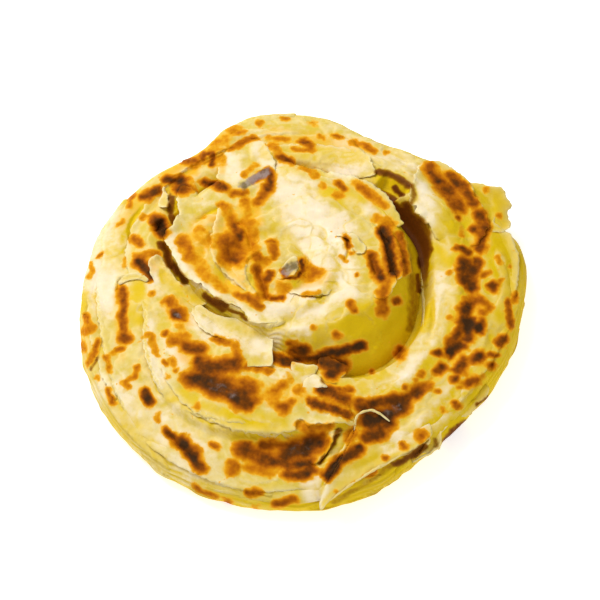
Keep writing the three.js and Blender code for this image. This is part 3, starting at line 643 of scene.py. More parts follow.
def looks_of(x, y, z, lip, foot, extra_shade):
    """Everything that the crust's material reads, for points of the finished surface."""
    u, v = on_plan(x, y, z)
    # The gap strokes are painted shadow, and shade is painted shade: at feet of steps and in grooves, on
    # slopes away from the light, in gaps and with fat. The pale lips, partly a painted highlight, fade where
    # slopes are shaded.
    gap = stroke_field(u, v, GAP_SHADOWS, 57, 0.8)
    shade_and_fat = stroke_field(u, v, SHADE_AND_FAT, 59)
    return {
        "burn": stroke_field(u, v, MARKS, 51),
        "ash": stroke_field(u, v, ASHEN, 53),
        "gap": gap,
        "shade": np.clip(0.75 * foot + extra_shade + 1.2 * gap + 0.85 * shade_and_fat, 0, 1),
        "gold": np.clip(stroke_field(u, v, GOLD, 60), 0, 1),
        "cream": np.clip(stroke_field(u, v, CREAM_AND_LIGHT, 64), 0, 1),
        "lip": lip * (1 - np.clip(1.4 * extra_shade, 0, 1)),
    }


def slope_shade(height, x, y):
    """Painted shade on slopes that fall to the right or to the near side, away from the key light."""
    fall_x = (height(x - SLOPE_STEP, y) - height(x + SLOPE_STEP, y)) / (2 * SLOPE_STEP)
    fall_y = (height(x, y + SLOPE_STEP) - height(x, y - SLOPE_STEP)) / (2 * SLOPE_STEP)
    return np.clip(1.1 * fall_x + 0.3 * fall_y + 0.2 * np.hypot(fall_x, fall_y) - 0.05, 0, 0.9)


def paint_trough_shade(looks, x, y, depth):
    """Painted shade on what lies deep round the heart: olive, and brown where the dough closes over it; the
    cream and pale lips fade there.
    """
    bearing = polar(x, y)[1]
    deep = ease(0.8, 5, depth + 0.6 * fractal(x, y, 4, 91))
    brown = TROUGH_BROWN(bearing) * ease(1.8, 5.5, depth + fractal(x, y, 4, 93))
    looks["shade"] = np.clip(looks["shade"] + 0.75 * deep, 0, 1)
    looks["cream"] = looks["cream"] * (1 - deep)
    looks["lip"] = looks["lip"] * (1 - 0.8 * deep)
    looks["gap"] = np.maximum(looks["gap"], brown)


def make_piece(name, points, faces, looks, material):
    """A closed skin from points in millimetres, riding on the bread's one body."""
    mesh = bpy.data.meshes.new(name)
    placed = (points - np.array([MIDDLE[0], MIDDLE[1], 0])) * MM
    mesh.from_pydata(placed.tolist(), [], faces)
    for key, values in looks.items():
        layer = mesh.attributes.new(key, "FLOAT", "POINT")
        layer.data.foreach_set("value", np.asarray(values, np.float32))
    mesh.materials.append(material)
    mesh.validate()
    mesh.shade_smooth()
    piece = bpy.data.objects.new(name, mesh)
    bpy.context.scene.collection.objects.link(piece)
    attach(piece, BODY)
    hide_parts(NODE)


def ring_faces(rings, around):
    """Faces of a body made of a first point, rings of points, and a last point."""
    j = np.arange(around)
    k = (j + 1) % around
    starts = 1 + around * np.arange(rings)
    faces = np.stack([np.zeros(around, int), starts[0] + j, starts[0] + k], 1).tolist()
    for a, b in zip(starts, starts[1:]):
        faces += np.stack([a + j, b + j, b + k, a + k], 1).tolist()
    last = np.full(around, starts[-1] + around)
    return faces + np.stack([last, starts[-1] + k, starts[-1] + j], 1).tolist()


def skin_columns(rows, first, last):
    """x, y, z, lip, foot and shade of a first point, the rows between, and a last point."""
    return [np.concatenate([[a], *column, [b]]) for a, b, column in zip(first, last, zip(*rows))]


def plain_row(radius, bearing, z, shade):
    """A level ring of points with no lips or feet: x, y, z, lip, foot and shade."""
    x, y = from_polar(radius, bearing)
    zero = np.zeros(len(bearing))
    return x, y, z + zero, zero, zero, shade + zero


def push_out(x, y, bearing, out):
    dx, dy = from_polar(out, bearing)
    return x + dx, y + dy


def sheaf(z, bearing, seed):
    """Stacked sheets' edges down a wall, from 0 in a seam to about 1 on an edge."""
    wobble = 1.2 * line_noise(bearing, 14, seed) + 0.5 * line_noise(bearing, 5, seed + 1)
    layer = (z + wobble) / SHEAF_PITCH
    part = layer - np.floor(layer)
    return ease(0, 0.6, part) * ease(1, 0.7, part) * (0.6 + 0.4 * noise(bearing, z, 6, seed + 2))


def turn_row(radius, bearing, side):
    """A ring of points on the turns' upper face; side is 1 where it has become the rim's wall."""
    x, y = from_polar(radius, bearing)
    z = turn_height(x, y)
    rise, lip, foot = relief(x, y, z)
    shade = slope_shade(turn_height, x, y) * (1 - 0.4 * side)
    return x, y, np.maximum(z + rise * (1 - side), 1.0), lip, foot, shade


def with_rim_layers(row, bearing, side):
    """A ring of points, pushed out along the edges of the sheets that show at the rim, with pale edges that
    are partly a painted highlight and painted shade in the seams between them.
    """
    x, y, z, lip, foot, shade = row
    edges = side * sheaf(z, bearing, 63)
    x, y = push_out(x, y, bearing, SHEAF_DEPTH * edges)
    return x, y, z, np.maximum(lip, 0.8 * edges), foot, shade + 0.3 * (side - edges)


def turn_piece(material):
    """The outer turns: a closed dish with the trough, the rim and the underside."""
    around, tops, rims, unders = TURN_MESH
    bearing = np.arange(around) * 360 / around
    foot = HEART_FOOT(bearing)
    outline = OUTLINE(bearing) + 0.5 * line_noise(bearing, 6, 61) + 0.25 * line_noise(bearing, 2.2, 62)
    stand = outline - UNDERSIDE_INSET
    # Rings that face down or lie hidden get painted shade: 0.3 in the well, rising down the rim, 0.55 on the
    # underside.
    rows = [plain_row(foot - UNDER_HEART - 0.5, bearing, WELL_HEIGHT, 0.3)]
    closer_at_rim = 1 - np.linspace(1, 0, tops) ** 1.5
    for t in closer_at_rim:
        side = ease(0.86, 1, t)
        row = turn_row(lerp(foot - UNDER_HEART, outline, t), bearing, side)
        rows.append(with_rim_layers(row, bearing, side))
    for t in np.linspace(0, 1, rims + 1)[1:]:
        angle = t * np.pi / 2
        radius = outline - UNDERSIDE_INSET * (1 - np.cos(angle))
        row = plain_row(radius, bearing, RIM_HEIGHT * (1 - np.sin(angle)), 0.3 + 0.25 * t)
        rows.append(with_rim_layers(row, bearing, 1 - t))
    for t in np.linspace(0, 1, unders + 1)[1:-1]:
        radius = stand * (1 - t)
        hollows = UNDERSIDE_HOLLOWS * np.abs(fractal(*from_polar(radius, bearing), 9, 71))
        rows.append(plain_row(radius, bearing, FLOOR_GAP + hollows * ease(0, 8, stand - radius), 0.55))
    first, last = (0, 0, WELL_HEIGHT, 0, 0, 0), (0, 0, FLOOR_GAP, 0.5, 0.5, 0.5)
    x, y, z, lip, low, shade = skin_columns(rows, first, last)
    z = np.maximum(z, FLOOR_GAP)
    looks = looks_of(x, y, z, lip, low, shade)
    r, bearing = polar(x, y)
    # Painted shade deep in the trough round the heart.
    round_heart = ease(HEART_FOOT(bearing) + 8, HEART_FOOT(bearing) + 5, r) * (r > 20)
    paint_trough_shade(looks, x, y, (turn_top(x, y) - z) * round_heart)
    far_wall = ease(0, 25, y) * ease(11, 6, z) * ease(OUTLINE(bearing) - 12, OUTLINE(bearing) - 5, r)
    looks["burn"] = looks["burn"] * (1 - 0.85 * far_wall)
    make_piece("outer_turn", np.stack([x, y, z], 1), ring_faces(len(rows), around), looks, material)


def heart_piece(material):
    """The heart: a closed dome that stands in the turns' dish, with sheets' edges down its steep wall."""
    around, tops, walls = HEART_MESH
    bearing = np.arange(around) * 360 / around
    shelf = HEART_SHELF(bearing) + (0.7 * line_noise(bearing, 7, 81) + 0.4 * line_noise(bearing, 2.6, 82))
    foot = HEART_FOOT(bearing) + 0.5
    steep = ease(14, 4, foot - shelf)
    places = [(t * shelf, 0) for t in np.linspace(0, 1, tops + 1)[1:]]
    places += [(lerp(shelf, foot, t), t) for t in np.linspace(0, 1, walls + 1)[1:]]
    rows = []
    for radius, wall in places:
        x, y = from_polar(radius, bearing)
        z = heart_height(x, y)
        rise, lip, low = relief(x, y, z)
        z = z + rise * (1 - wall * steep)
        side = steep * ease(0, 0.15, wall)
        edges = side * sheaf(z, bearing, 83)
        x, y = push_out(x, y, bearing, 0.7 * SHEAF_DEPTH * edges)
        # Sheet edges down the wall are pale, partly a painted highlight; the seams between them and the
        # steep wall get painted shade.
        lip, low = np.maximum(lip, 0.35 * edges), np.maximum(low, 0.4 * (side - edges))
        rows.append((x, y, z, lip, low, slope_shade(heart_height, x, y) + 0.3 * wall * steep))
    first = (0, 0, rows[0][2].mean(), *(values[0] for values in rows[0][3:]))
    # The hidden base ring gets painted shade.
    rows.append(plain_row(foot - 1.0, bearing, HEART_BASE, 0.5))
    x, y, z, lip, low, shade = skin_columns(rows, first, (0, 0, HEART_BASE, 0, 0, 0))
    looks = looks_of(x, y, z, lip, low, shade)
    # Painted shade low on the heart's wall, down in the trough.
    paint_trough_shade(looks, x, y, 0.35 * (heart_top(x, y) - z - 1.5))
    make_piece("heart", np.stack([x, y, z], 1), ring_faces(len(rows), around), looks, material)


# ---------------------------------------------------------------------------------------------------
# Torn sheets of dough. Outlines are loops on the leaning plan, given as (u, v, lift): a free edge
# stands up by its lift, and an edge with a lift below zero is tucked into the bread. The word before
# a loop names the surface that the sheet lies on.
SHEETS = {
    "heart_petal_left": ("heart", [
        (-43, 52, 0.8), (-44.5, 46, 1.2), (-44, 39, 1.4), (-46, 34.5, 1.8), (-48.8, 30, 1.8),
        (-48, 27, 1.8), (-46.4, 24, 1.6), (-44.7, 21.2, 1.6), (-43.5, 17.2, 1.4), (-41.6, 13.7, 1.4),
        (-39, 11.4, 1.4), (-36, 10, 1.2), (-34.2, 8.4, 1.2), (-30.5, 4.6, 1.2), (-26.9, 1.8, 1.2),
        (-23.3, 0.8, 1.2), (-20.4, -0.9, 1.2), (-18.4, -3.4, 1.0), (-17.4, -5.4, 1.0), (-14.6, -6.8, 1.0),
        (-11.4, -6.6, 0.9), (-7.4, -5.4, 0.7), (-5, -2, -0.5), (-12, 1.5, -0.7), (-20, 7, -0.7),
        (-26, 12.5, -0.7), (-31, 18, -0.7), (-34, 26, -0.7), (-34, 35, -0.7), (-36, 44, -0.7),
        (-38, 51, -0.6)]),
    "heart_petal_inner": ("heart", [
        (-29, 44, 0.3), (-31, 36, 0.9), (-32, 29, 1.1), (-31.5, 22, 1.2), (-29, 17, 1.1), (-25, 12.5, 1.0),
        (-21, 9, 0.7), (-17, 7, -0.5), (-19, 13, -0.6), (-22, 20, -0.7), (-23, 28, -0.7), (-22, 36, -0.7),
        (-25, 43, -0.6)]),
    "heart_sheet_far": ("heart", [
        (-27, 46, -0.4), (-29.3, 53.3, 1.0), (-30.1, 57.9, 1.2), (-29.1, 62.9, 1.2), (-27.3, 66.6, 1.2),
        (-24, 71.2, 1.1), (-21, 73, 1.0), (-18.4, 73.5, 0.9), (-15.8, 73, 1.0), (-13.1, 71.2, 0.8),
        (-11, 67.5, 0.7), (-9, 62, 0.4), (-9, 56, -0.6), (-14, 50, -0.7), (-21, 46, -0.7)]),
    "heart_swirl_petal": ("heart", [
        (-8.6, 13, 0.2), (-7, 16.5, 0.9), (-4.5, 19.5, 1.6), (-1, 20, 1.8), (-0.6, 16.5, 1.6),
        (-2.4, 13.4, 1.2), (-5.5, 12, 0.5)]),
    "heart_lip_centre": ("heart", [
        (-5, 7.5, 0.4), (-1, 5.2, 1.0), (4, 4.6, 1.2), (9, 6, 0.8), (12, 9, -0.3), (8, 12, -0.6),
        (2, 11, -0.6), (-3, 10, -0.6)]),
    "heart_fold_right": ("heart", [
        (28, 38.5, -0.4), (32, 34, 0.5), (35, 27, 0.9), (36.5, 19, 1.0), (36.2, 13, 0.8), (34.2, 12.5, 0.4),
        (33.8, 20, -0.5), (32, 28, -0.5), (28.5, 34.5, -0.5)]),
    "heart_fold_middle": ("heart", [
        (25, 37.5, -0.4), (28.5, 32, 0.6), (30.6, 25, 0.9), (31.4, 17, 1.0), (30.6, 12, 0.6),
        (28.6, 12, -0.4), (28.4, 19, -0.5), (26.5, 27, -0.5), (23.5, 33, -0.5)]),
    "heart_flap_right": ("heart", [
        (24.6, 11.6, -0.4), (26.6, 13.6, 0.5), (30, 14.6, 1.0), (33, 14.2, 1.2), (33.9, 11.4, 1.3),
        (32.6, 7.6, 1.3), (31, 4.6, 1.2), (28.6, 3.8, 0.9), (26.2, 4.6, 0.4), (25, 7.4, -0.5)]),
    "heart_flake_right": ("heart", [
        (13, 30.5, 0.6), (17, 31.5, 0.9), (21, 29.5, 0.9), (23.5, 24, 0.8), (20.5, 22.5, 0.9),
        (18.5, 25, 1.2), (17, 29, 1.0)]),
    "middle_flap": ("over", [
        (-54.4, 18, 1.8), (-53.3, 20.2, 2.2), (-50.8, 21.1, 2.4), (-49, 19.8, 2.2), (-47.8, 17.2, 2.0),
        (-46.3, 14.2, 1.8), (-44, 11.2, 1.6), (-41.1, 9.4, 1.6), (-38.9, 9, 1.4), (-36.7, 8.6, 1.4),
        (-34.9, 7.7, 1.4), (-33.1, 6, 1.4), (-32.4, 3.5, 1.2), (-33.4, 1.6, 0.8), (-36.6, 0.8, -0.2),
        (-41.3, 1.4, -0.6), (-47, 4.5, -0.6), (-51.2, 9, -0.6), (-53, 13, 0.6)]),
    "middle_sheet": ("over", [
        (-37.4, -0.6, 0.3), (-35.8, 1.2, 0.8), (-32.5, -1.4, 0.9), (-27.9, -3.6, 0.8), (-23.2, -4, 0.7),
        (-20.3, -4.8, 0.6), (-17.8, -4.4, 0.5), (-13.5, -4.6, 0.5), (-9.6, -5.4, 0.9), (-9.2, -11, 1.3),
        (-9.8, -18, 1.5), (-9.5, -23.4, 1.0), (-12.3, -23.8, 0.6), (-15.9, -23.6, 0.3), (-19.2, -23.4, 0.0),
        (-20.4, -20, -0.5), (-22.6, -15.6, -0.9), (-26.6, -12.4, -1.1), (-29.9, -10.6, -1.1),
        (-32.2, -8, -1.1), (-34.8, -4.7, -0.9)]),
    "trough_small_sheet": ("over", [
        (-2.8, -22.3, 0.8), (0, -23.1, 0.9), (2.8, -23.5, 0.9), (6.3, -23.9, 0.8), (5.4, -26.6, 0.3),
        (2.8, -28.6, -0.2), (0, -27.6, -0.4), (-2.8, -25.4, 0.1)]),
    "trough_fold": ("over", [
        (6.2, -21.3, 0.4), (8.1, -20.4, 0.7), (11.6, -20.9, 0.8), (14.5, -22.5, 0.8), (16.7, -24.6, 0.6),
        (15.3, -27.6, 0.2), (11.9, -29.4, -0.3), (7.7, -29.8, -0.4), (6, -27.2, -0.2), (5.8, -24, 0.3)]),
    "trough_curl": ("over", [
        (0.8, -31.6, 0.2), (2, -29, 0.8), (4.2, -27.9, 1.3), (6, -28.4, 1.6), (8, -30.6, 1.4),
        (9.6, -32.4, 0.8), (7, -32.4, 0.4), (5.4, -33, 0.2), (4.6, -35, -0.2), (2.9, -37, -0.3),
        (1.2, -34.6, -0.2)]),
    "trough_band": ("over", [
        (1.6, -36.4, -0.3), (4.5, -36, 0.2), (8, -36, 0.6), (12.2, -37.2, 0.8), (15.7, -38.4, 0.8),
        (17.6, -41.6, 0.7), (18.8, -45.6, 0.5), (14.6, -43.7, -0.2), (10.4, -41.8, -0.3), (6.3, -40, -0.3),
        (2.6, -38.6, -0.3)]),
    "middle_torn_end": ("over", [
        (0, -37.3, -0.4), (2.8, -38.9, 0.4), (6.3, -40.9, 0.6), (10.4, -42.8, 0.6), (14.6, -44.4, 0.7),
        (18.6, -46.6, 0.8), (17.3, -48.2, 1.0), (13.9, -47, 1.1), (10.4, -46.6, 1.2), (6.2, -47, 1.2),
        (2.8, -48, 1.3), (1.2, -46.2, 1.2), (-1, -45.4, 1.2), (-1.6, -50, 1.2), (-4.2, -51, 1.2),
        (-10.4, -51.4, 1.1), (-16, -50.6, 1.0), (-21, -47, -0.4), (-16, -43, -0.6), (-7, -40.4, -0.6)]),
    "near_sheet_right": ("over", [
        (13.4, -49, 0.8), (11.9, -52.3, 1.4), (10.2, -55.6, 1.4), (7.8, -61, 1.2), (5.3, -62.4, 0.8),
        (1.5, -60, -0.4), (2, -54, -0.5), (7, -50, -0.4)]),
    "near_flake_right": ("over", [
        (18.2, -49.4, 0.8), (16.2, -53.2, 1.4), (14.2, -57.2, 1.4), (11.8, -61, 1.0), (13.4, -60.6, 0.6),
        (16, -57, 0.4), (18.4, -53, 0.2)]),
    "tip_sheet": ("shelf", [
        (20, -49, 0.4), (17.4, -54, 0.8), (15, -60, 1.0), (11.6, -66, 1.0), (8.6, -72, 0.8),
        (6.6, -78, 0.6), (7, -81, 0.4), (9.5, -78, 0.8), (13.6, -74, 1.1), (18.8, -70.1, 1.2),
        (23.9, -66.7, 1.3), (29.1, -63.6, 1.4), (34.4, -60.5, 1.5), (38.6, -57.8, 1.6), (43.1, -54.7, 1.8),
        (45.6, -51, 0.6), (44, -46, -0.6), (36, -48, -0.7), (28, -53, -0.7), (23, -52, -0.5)]),
    "rim_sheet_near_right": ("ledge", [
        (38.8, -63.4, 0.2), (39, -61.3, 0.6), (41.3, -59.3, 0.8), (43.8, -58.8, 0.8), (46.8, -58, 0.9),
        (48.8, -56.6, 1.0), (48.4, -54, 1.0), (48.2, -51.6, 1.0), (49.5, -49.7, 1.0), (51.7, -47.7, 1.0),
        (54.1, -46.2, 1.0), (56.6, -44.8, 0.9), (59.3, -43.9, 1.0), (60.8, -41.7, 1.0), (62.2, -39.8, 1.0),
        (64.8, -36.6, 0.8), (66.5, -33, 0.3), (63, -30, -1), (55, -38, -1), (48, -44, -1), (42, -50, -1),
        (38, -56, -0.8)]),
    "corner_flap": ("shelf", [
        (43.6, 61.5, 1.4), (42.4, 57, 2.2), (40.6, 50, 2.6), (39.8, 44.6, 2.6), (41.8, 42.4, 2.4),
        (41.9, 40, 2.2), (43.6, 38.2, 2.2), (44.8, 36, 1.8), (47.4, 34.6, 1.4), (48.4, 31, 0.8),
        (51, 28.4, -0.3), (56, 28.6, -0.6), (62, 26.5, 0.2), (66, 29, 1.0), (68, 34, 1.4),
        (68.4, 37.6, 1.4), (66.4, 42.4, 1.5), (63.6, 47.5, 1.6), (63.2, 51.6, 1.6), (60.6, 55.6, 1.4),
        (55.4, 61, 1.4), (50, 63.6, 1.3), (46.6, 62.8, 1.3)]),
    "rim_flap": ("shelf", [
        (61, 47.5, -0.6), (64, 43, -0.6), (67, 38, -0.5), (68.5, 33.2, 0.3), (72.6, 32.2, 0.8),
        (76.6, 34.4, 1.0), (76.2, 40.4, 1.2), (77.6, 44.3, 1.2), (76, 47.4, 1.0), (74.4, 51.7, 1.2),
        (69.6, 52.2, 1.0), (65, 53.8, 0.8), (61, 53.4, -0.3)]),
    "far_sheet": ("turn", [
        (8.6, 66.5, -0.5), (15.5, 60.5, -0.5), (21, 56.8, -0.2), (27, 57.2, 1.0), (26.8, 61.2, 1.4),
        (24.2, 67.4, 1.2), (19.4, 73.2, 0.9), (12.4, 76.4, 0.4), (9.8, 73, -0.5)]),
    "far_flake_left": ("turn", [
        (-50, 51.8, 0.9), (-51.6, 44, 1.2), (-47.6, 42.4, 1.4), (-48.2, 47, 1.0)]),
}

# Thin torn edges that stand up by themselves: (surface, width, height, (u, v), ...).
RIBBONS = [
    ("over", 0.9, 1.0, (18.7, -49.2), (19.2, -45), (20.5, -42.8), (22.3, -42), (24.4, -41.6), (26.4, -42.4),
     (28.2, -43.6), (29.5, -44.8), (30.9, -46)),
    ("ledge", 0.9, 2.3, (39.5, -61.3), (41.6, -59.3), (43.1, -56.6), (44.8, -55), (44.5, -53)),
    ("ledge", 0.9, 1.9, (38.8, -62.8), (41.5, -61.3), (45.4, -59.3), (48.6, -56.6), (48.8, -51.1),
     (52.7, -47.2)),
    ("shelf", 0.8, 1.7, (10.4, -77.2), (18.8, -70.1), (29.1, -63.6), (38.6, -57.8), (43.1, -54.7)),
    ("turn", 0.9, 0.35, (42.6, 20), (43.6, 12), (44.2, 3.5), (43.6, -5), (42, -12)),
    ("over", 2.6, 0.35, (-65, 10.6), (-61.4, 13.2), (-57.1, 13.4), (-54.6, 11.6)),
]

# Long strips of sheet along the turns: (surface, width, lift, (u, v), ...). The strip lies on the left
# of its free edge.
STRIPS = [
    ("turn", 9, 0.8, (-40, -41), (-27, -46.8), (-19, -50.2), (-10, -51.8), (-1, -50.8)),
    ("turn", 6, 1.1, (-73, 12), (-71.6, 0), (-71, -4.9), (-69.1, -15.3), (-67, -23.5), (-64.8, -31.6),
     (-61, -41)),
    ("turn", 6, 1.2, (-56, 4), (-54.8, -4.1), (-54.1, -15.3), (-52.4, -23.5), (-50, -30.4), (-47, -36)),
    ("turn", 8, 0.7, (-52, 52), (-58, 40), (-62, 28), (-62, 18), (-60, 12)),
    ("turn", 8, 0.7, (30, 61), (20, 68), (8, 71), (-4, 71), (-14, 70)),
    ("turn", 7, 0.7, (-49, -22), (-45, -32), (-37, -41), (-26, -45.6), (-14, -46)),
    ("heart", 9, 0.7, (37, 36), (30.5, 48.8), (22, 54.6), (10, 58), (0, 61), (-8, 64)),
    ("turn", 7, 0.6, (-30, -70), (-20, -72.6), (-8, -73), (3, -72)),
    ("turn", 6, 0.7, (-38, 1), (-37, -3.4), (-33.6, -8), (-28, -12), (-23, -14.6)),
]

# Layers that show at the rim: (first bearing, last bearing, inset of the edge, width, lift, drop).
RIM_STRIPS = [
    (148, 186, 1.2, 8, 0.5, 0.6), (182, 214, 3.4, 8, 0.7, 0.0), (196, 236, 0.8, 7, 0.5, 1.6),
    (228, 262, 2.6, 8, 0.6, 0.4), (246, 290, 0.8, 7, 0.5, 1.8), (92, 128, 1.4, 8, 0.6, 0.5),
    (40, 92, 2.6, 7, 0.6, 0.6), (-26, 12, 1.2, 7, 0.6, 1.0), (-2, 26, 3.2, 7, 0.8, 0.0),
    (294, 326, -0.4, 9, 0.9, 3.4), (306, 338, 1.6, 8, 1.0, 2.2), (318, 350, 3.4, 7, 0.8, 0.6),
]

# How much of the griddle marks shows on a sheet, where it isn't all of them.
SHEET_BURN = {
    "trough_curl": 0.1, "middle_flap": 0.1, "middle_sheet": 0.15, "trough_small_sheet": 0.2,
    "far_flake_left": 0.0}

# How ragged a sheet's edge is, where it isn't as ragged as the others.
SHEET_TEAR = {
    "tip_sheet": 0.35, "middle_sheet": 0.4, "trough_curl": 0.5, "trough_small_sheet": 0.5,
    "middle_flap": 0.7}

# How much of each look the underside of a sheet has, and the least painted shade that it gets.
UNDERSIDE_LOOKS = {
    "gold": 1.0, "burn": 0.35, "ash": 0.0, "gap": 0.6, "shade": 1.0, "cream": 0.5, "lip": 0.45}
UNDERSIDE_SHADE = 0.6

SHEET_THICKNESS = 0.5
EDGE_THICKNESS = 0.35   # of that, at a sheet's edge
EDGE_WIDTH = 0.9        # how far in from its edge a sheet is thinner
SHEET_MIDDLE = 0.25     # how far a sheet lies above the surface away from its edges
LIFT_FADE = 3.2         # how far in from an edge its lift dies away
CURL_FADE = 2.5         # and its small waves
SHEET_EDGE = 0.7        # spacing of the points round a sheet
SHEET_MESH = 0.75       # spacing of the points inside a sheet
ROW_PITCH = 0.87        # from row to row, as a part of the spacing, for nearly even triangles
SHELF_INSET = 6.5       # the shelf carries the turn's top on from this far inside the outline
LEDGE_DROP = 2.6
RIM_POINTS = 14
STRIP_SPACING = 3.0
RIBBON_SPACING = 1.5

# The seed of the first piece of each kind, and the step from one piece's seed to the next.
SHEET_SEED, STRIP_SEED, RIBBON_SEED, RIM_SEED = 200, 900, 1300, 1500
SEED_STEP = 20


def shelf_top(x, y):
    """The outer turn's top, carried on past the rim, where it bends down a little."""
    r, bearing = polar(x, y)
    start = OUTLINE(bearing) - SHELF_INSET
    inside = np.minimum(1.0, start / np.maximum(r, 1e-6))
    past = np.maximum(0, r - start)
    return turn_top(x * inside, y * inside) - 0.12 * past - 0.035 * past ** 2


def ledge_top(x, y):
    """A level below the shelf, for the sheets that come out under the turn's upper edge."""
    return shelf_top(x, y) - LEDGE_DROP


SURFACES = {
    "heart": heart_top, "turn": turn_height, "over": turn_top, "shelf": shelf_top, "ledge": ledge_top}
GUESS_DROP = 4.0        # a first guess at how far the lean moves a place on the plan


def from_plan(u, v, surface):
    """Where places on the leaning plan meet a surface, found in a few steps from a first guess."""
    x, y = u - PLAN_X, v - PLAN_Y - GUESS_DROP
    for _ in range(6):
        y = 0.5 * y + 0.5 * (v - PLAN_Y - LEAN * (surface(x, y) + SHEET_MIDDLE - PLAN_Z))
    return x, y


def placed_loop(outline, surface):
    """An outline's (u, v, lift) rows as (x, y, lift) rows on a surface."""
    u, v, lift = np.array(outline, float).T
    x, y = from_plan(u, v, surface)
    return np.stack([x, y, lift], 1)


def rim_outline(first, last, inset, width, lift, drop):
    """Outline in x and y of a layer that follows the rim; drop is put into the lift of every point."""
    bearing = np.linspace(first, last, RIM_POINTS)
    swell = np.sqrt(np.sin(np.pi * np.linspace(0.02, 0.98, RIM_POINTS)))
    radius = OUTLINE(bearing) - inset + 0.7 * line_noise(bearing, 9, 301)
    rows = [(r, b, lift * s - 0.2 * (1 - s) - drop) for r, b, s in zip(radius, bearing, swell)]
    rows += [(r - width * s, b, -0.8 - drop) for r, b, s in zip(radius[::-1], bearing[::-1], swell[::-1])]
    return [(*from_polar(r, b), h) for r, b, h in rows]


def path_and_left(points, spacing):
    """A smooth path through the points, and the direction to its left at each of its points."""
    path = spline(points, spacing)
    way = np.gradient(path, axis=0)
    return path, np.stack([-way[:, 1], way[:, 0]], 1) / np.hypot(way[:, 0], way[:, 1])[:, None]


def strip_outline(width, lift, points):
    """Outline of a long strip with one free edge, narrowing to its ends."""
    path, left = path_and_left(points, STRIP_SPACING)
    swell = np.sqrt(np.sin(np.pi * np.clip(np.linspace(0, 1, len(path)), 0.02, 0.98)))
    free = path - 0.7 * swell[:, None] * left
    tucked = path + width * swell[:, None] * left
    rows = [(*p, lift * s - 0.3 * (1 - s)) for p, s in zip(free, swell)]
    return rows + [(*p, -0.7) for p in tucked[::-1]]


def ribbon_outline(width, height, points):
    """Outline of a thin strip that is raised on both of its edges."""
    path, left = path_and_left(points, RIBBON_SPACING)
    swell = np.sqrt(np.sin(np.pi * np.linspace(0.06, 0.94, len(path))))
    half = 0.5 * width * swell[:, None] * left
    rows = [(*p, height * s) for p, s in zip(path + half, swell)]
    return rows + [(*p, height * s) for p, s in zip((path - half)[::-1], swell[::-1])]


def inside_loop(x, y, loop):
    """Which points lie inside a closed loop, by counting crossings."""
    odd = np.zeros(x.shape, bool)
    following = np.roll(loop, -1, axis=0)
    for (ax, ay), (bx, by) in zip(loop, following):
        if ay != by:
            odd ^= ((ay > y) != (by > y)) & (x < (bx - ax) * (y - ay) / (by - ay) + ax)
    return odd


def loop_area(loop):
    following = np.roll(loop, -1, axis=0)
    return 0.5 * abs(np.sum(loop[:, 0] * following[:, 1] - loop[:, 1] * following[:, 0]))


def distances(x, y, edge):
    """Distance from each point to each point of an edge."""
    return np.hypot(x[:, None] - edge[None, :, 0], y[:, None] - edge[None, :, 1])


def torn_edge(loop, raggedness, seed):
    """A loop with torn, ragged outlines, and how free each of its points is, from 0 to 1.

    A narrow sheet is torn less, so that its two sides stay apart."""
    x, y, lift = loop.T
    way = np.roll(loop[:, :2], -1, axis=0) - np.roll(loop[:, :2], 1, axis=0)
    out = np.stack([way[:, 1], -way[:, 0]], 1) / (np.hypot(way[:, 0], way[:, 1])[:, None] + 1e-9)
    free = ease(-0.2, 0.6, lift)
    tear = 0.7 * fractal(x, y, 2.6, seed) + 0.5 * noise(x, y, 1.1, seed + 3)
    narrow = min(1.0, 0.7 * math.sqrt(loop_area(loop) / len(loop)))
    return loop[:, :2] + out * (tear * raggedness * narrow * (0.25 + 0.75 * free))[:, None], free


def fill_loop(edge):
    """Points and triangles that fill a loop."""
    spacing = SHEET_MESH
    low, high = edge.min(axis=0), edge.max(axis=0)
    x, y = np.meshgrid(np.arange(low[0], high[0], spacing), np.arange(low[1], high[1], spacing * ROW_PITCH))
    x = x + 0.5 * spacing * (np.arange(x.shape[0]) % 2)[:, None]
    x, y = x.ravel(), y.ravel()
    keep = inside_loop(x, y, edge) & (distances(x, y, edge).min(axis=1) > 0.55 * spacing)
    flat = np.concatenate([edge, np.stack([x[keep], y[keep]], 1)])
    sides = [(i, (i + 1) % len(edge)) for i in range(len(edge))]
    points, _, faces = delaunay_2d_cdt([Vector(p) for p in flat.tolist()], sides, [], 1, 1e-5)[:3]
    return np.array([tuple(p) for p in points]), np.array([tuple(f) for f in faces])


def thicken(points, tris, thickness):
    """A sheet's upper points and copies of them below, and the faces that close them."""
    area = np.cross(points[tris[:, 1]] - points[tris[:, 0]], points[tris[:, 2]] - points[tris[:, 0]])
    if area[:, 2].sum() < 0:
        tris, area = tris[:, ::-1], -area
    normal = np.zeros(points.shape)
    for corner in range(3):
        np.add.at(normal, tris[:, corner], area)
    normal /= np.linalg.norm(normal, axis=1)[:, None] + 1e-12
    under = points - normal * thickness[:, None]
    under[:, 2] = np.maximum(under[:, 2], FLOOR_GAP)
    count = len(points)
    sides = dict.fromkeys(side for a, b, c in tris.tolist() for side in ((a, b), (b, c), (c, a)))
    walls = [(b, a, a + count, b + count) for a, b in sides if (b, a) not in sides]
    return np.concatenate([points, under]), tris.tolist() + (tris[:, ::-1] + count).tolist() + walls


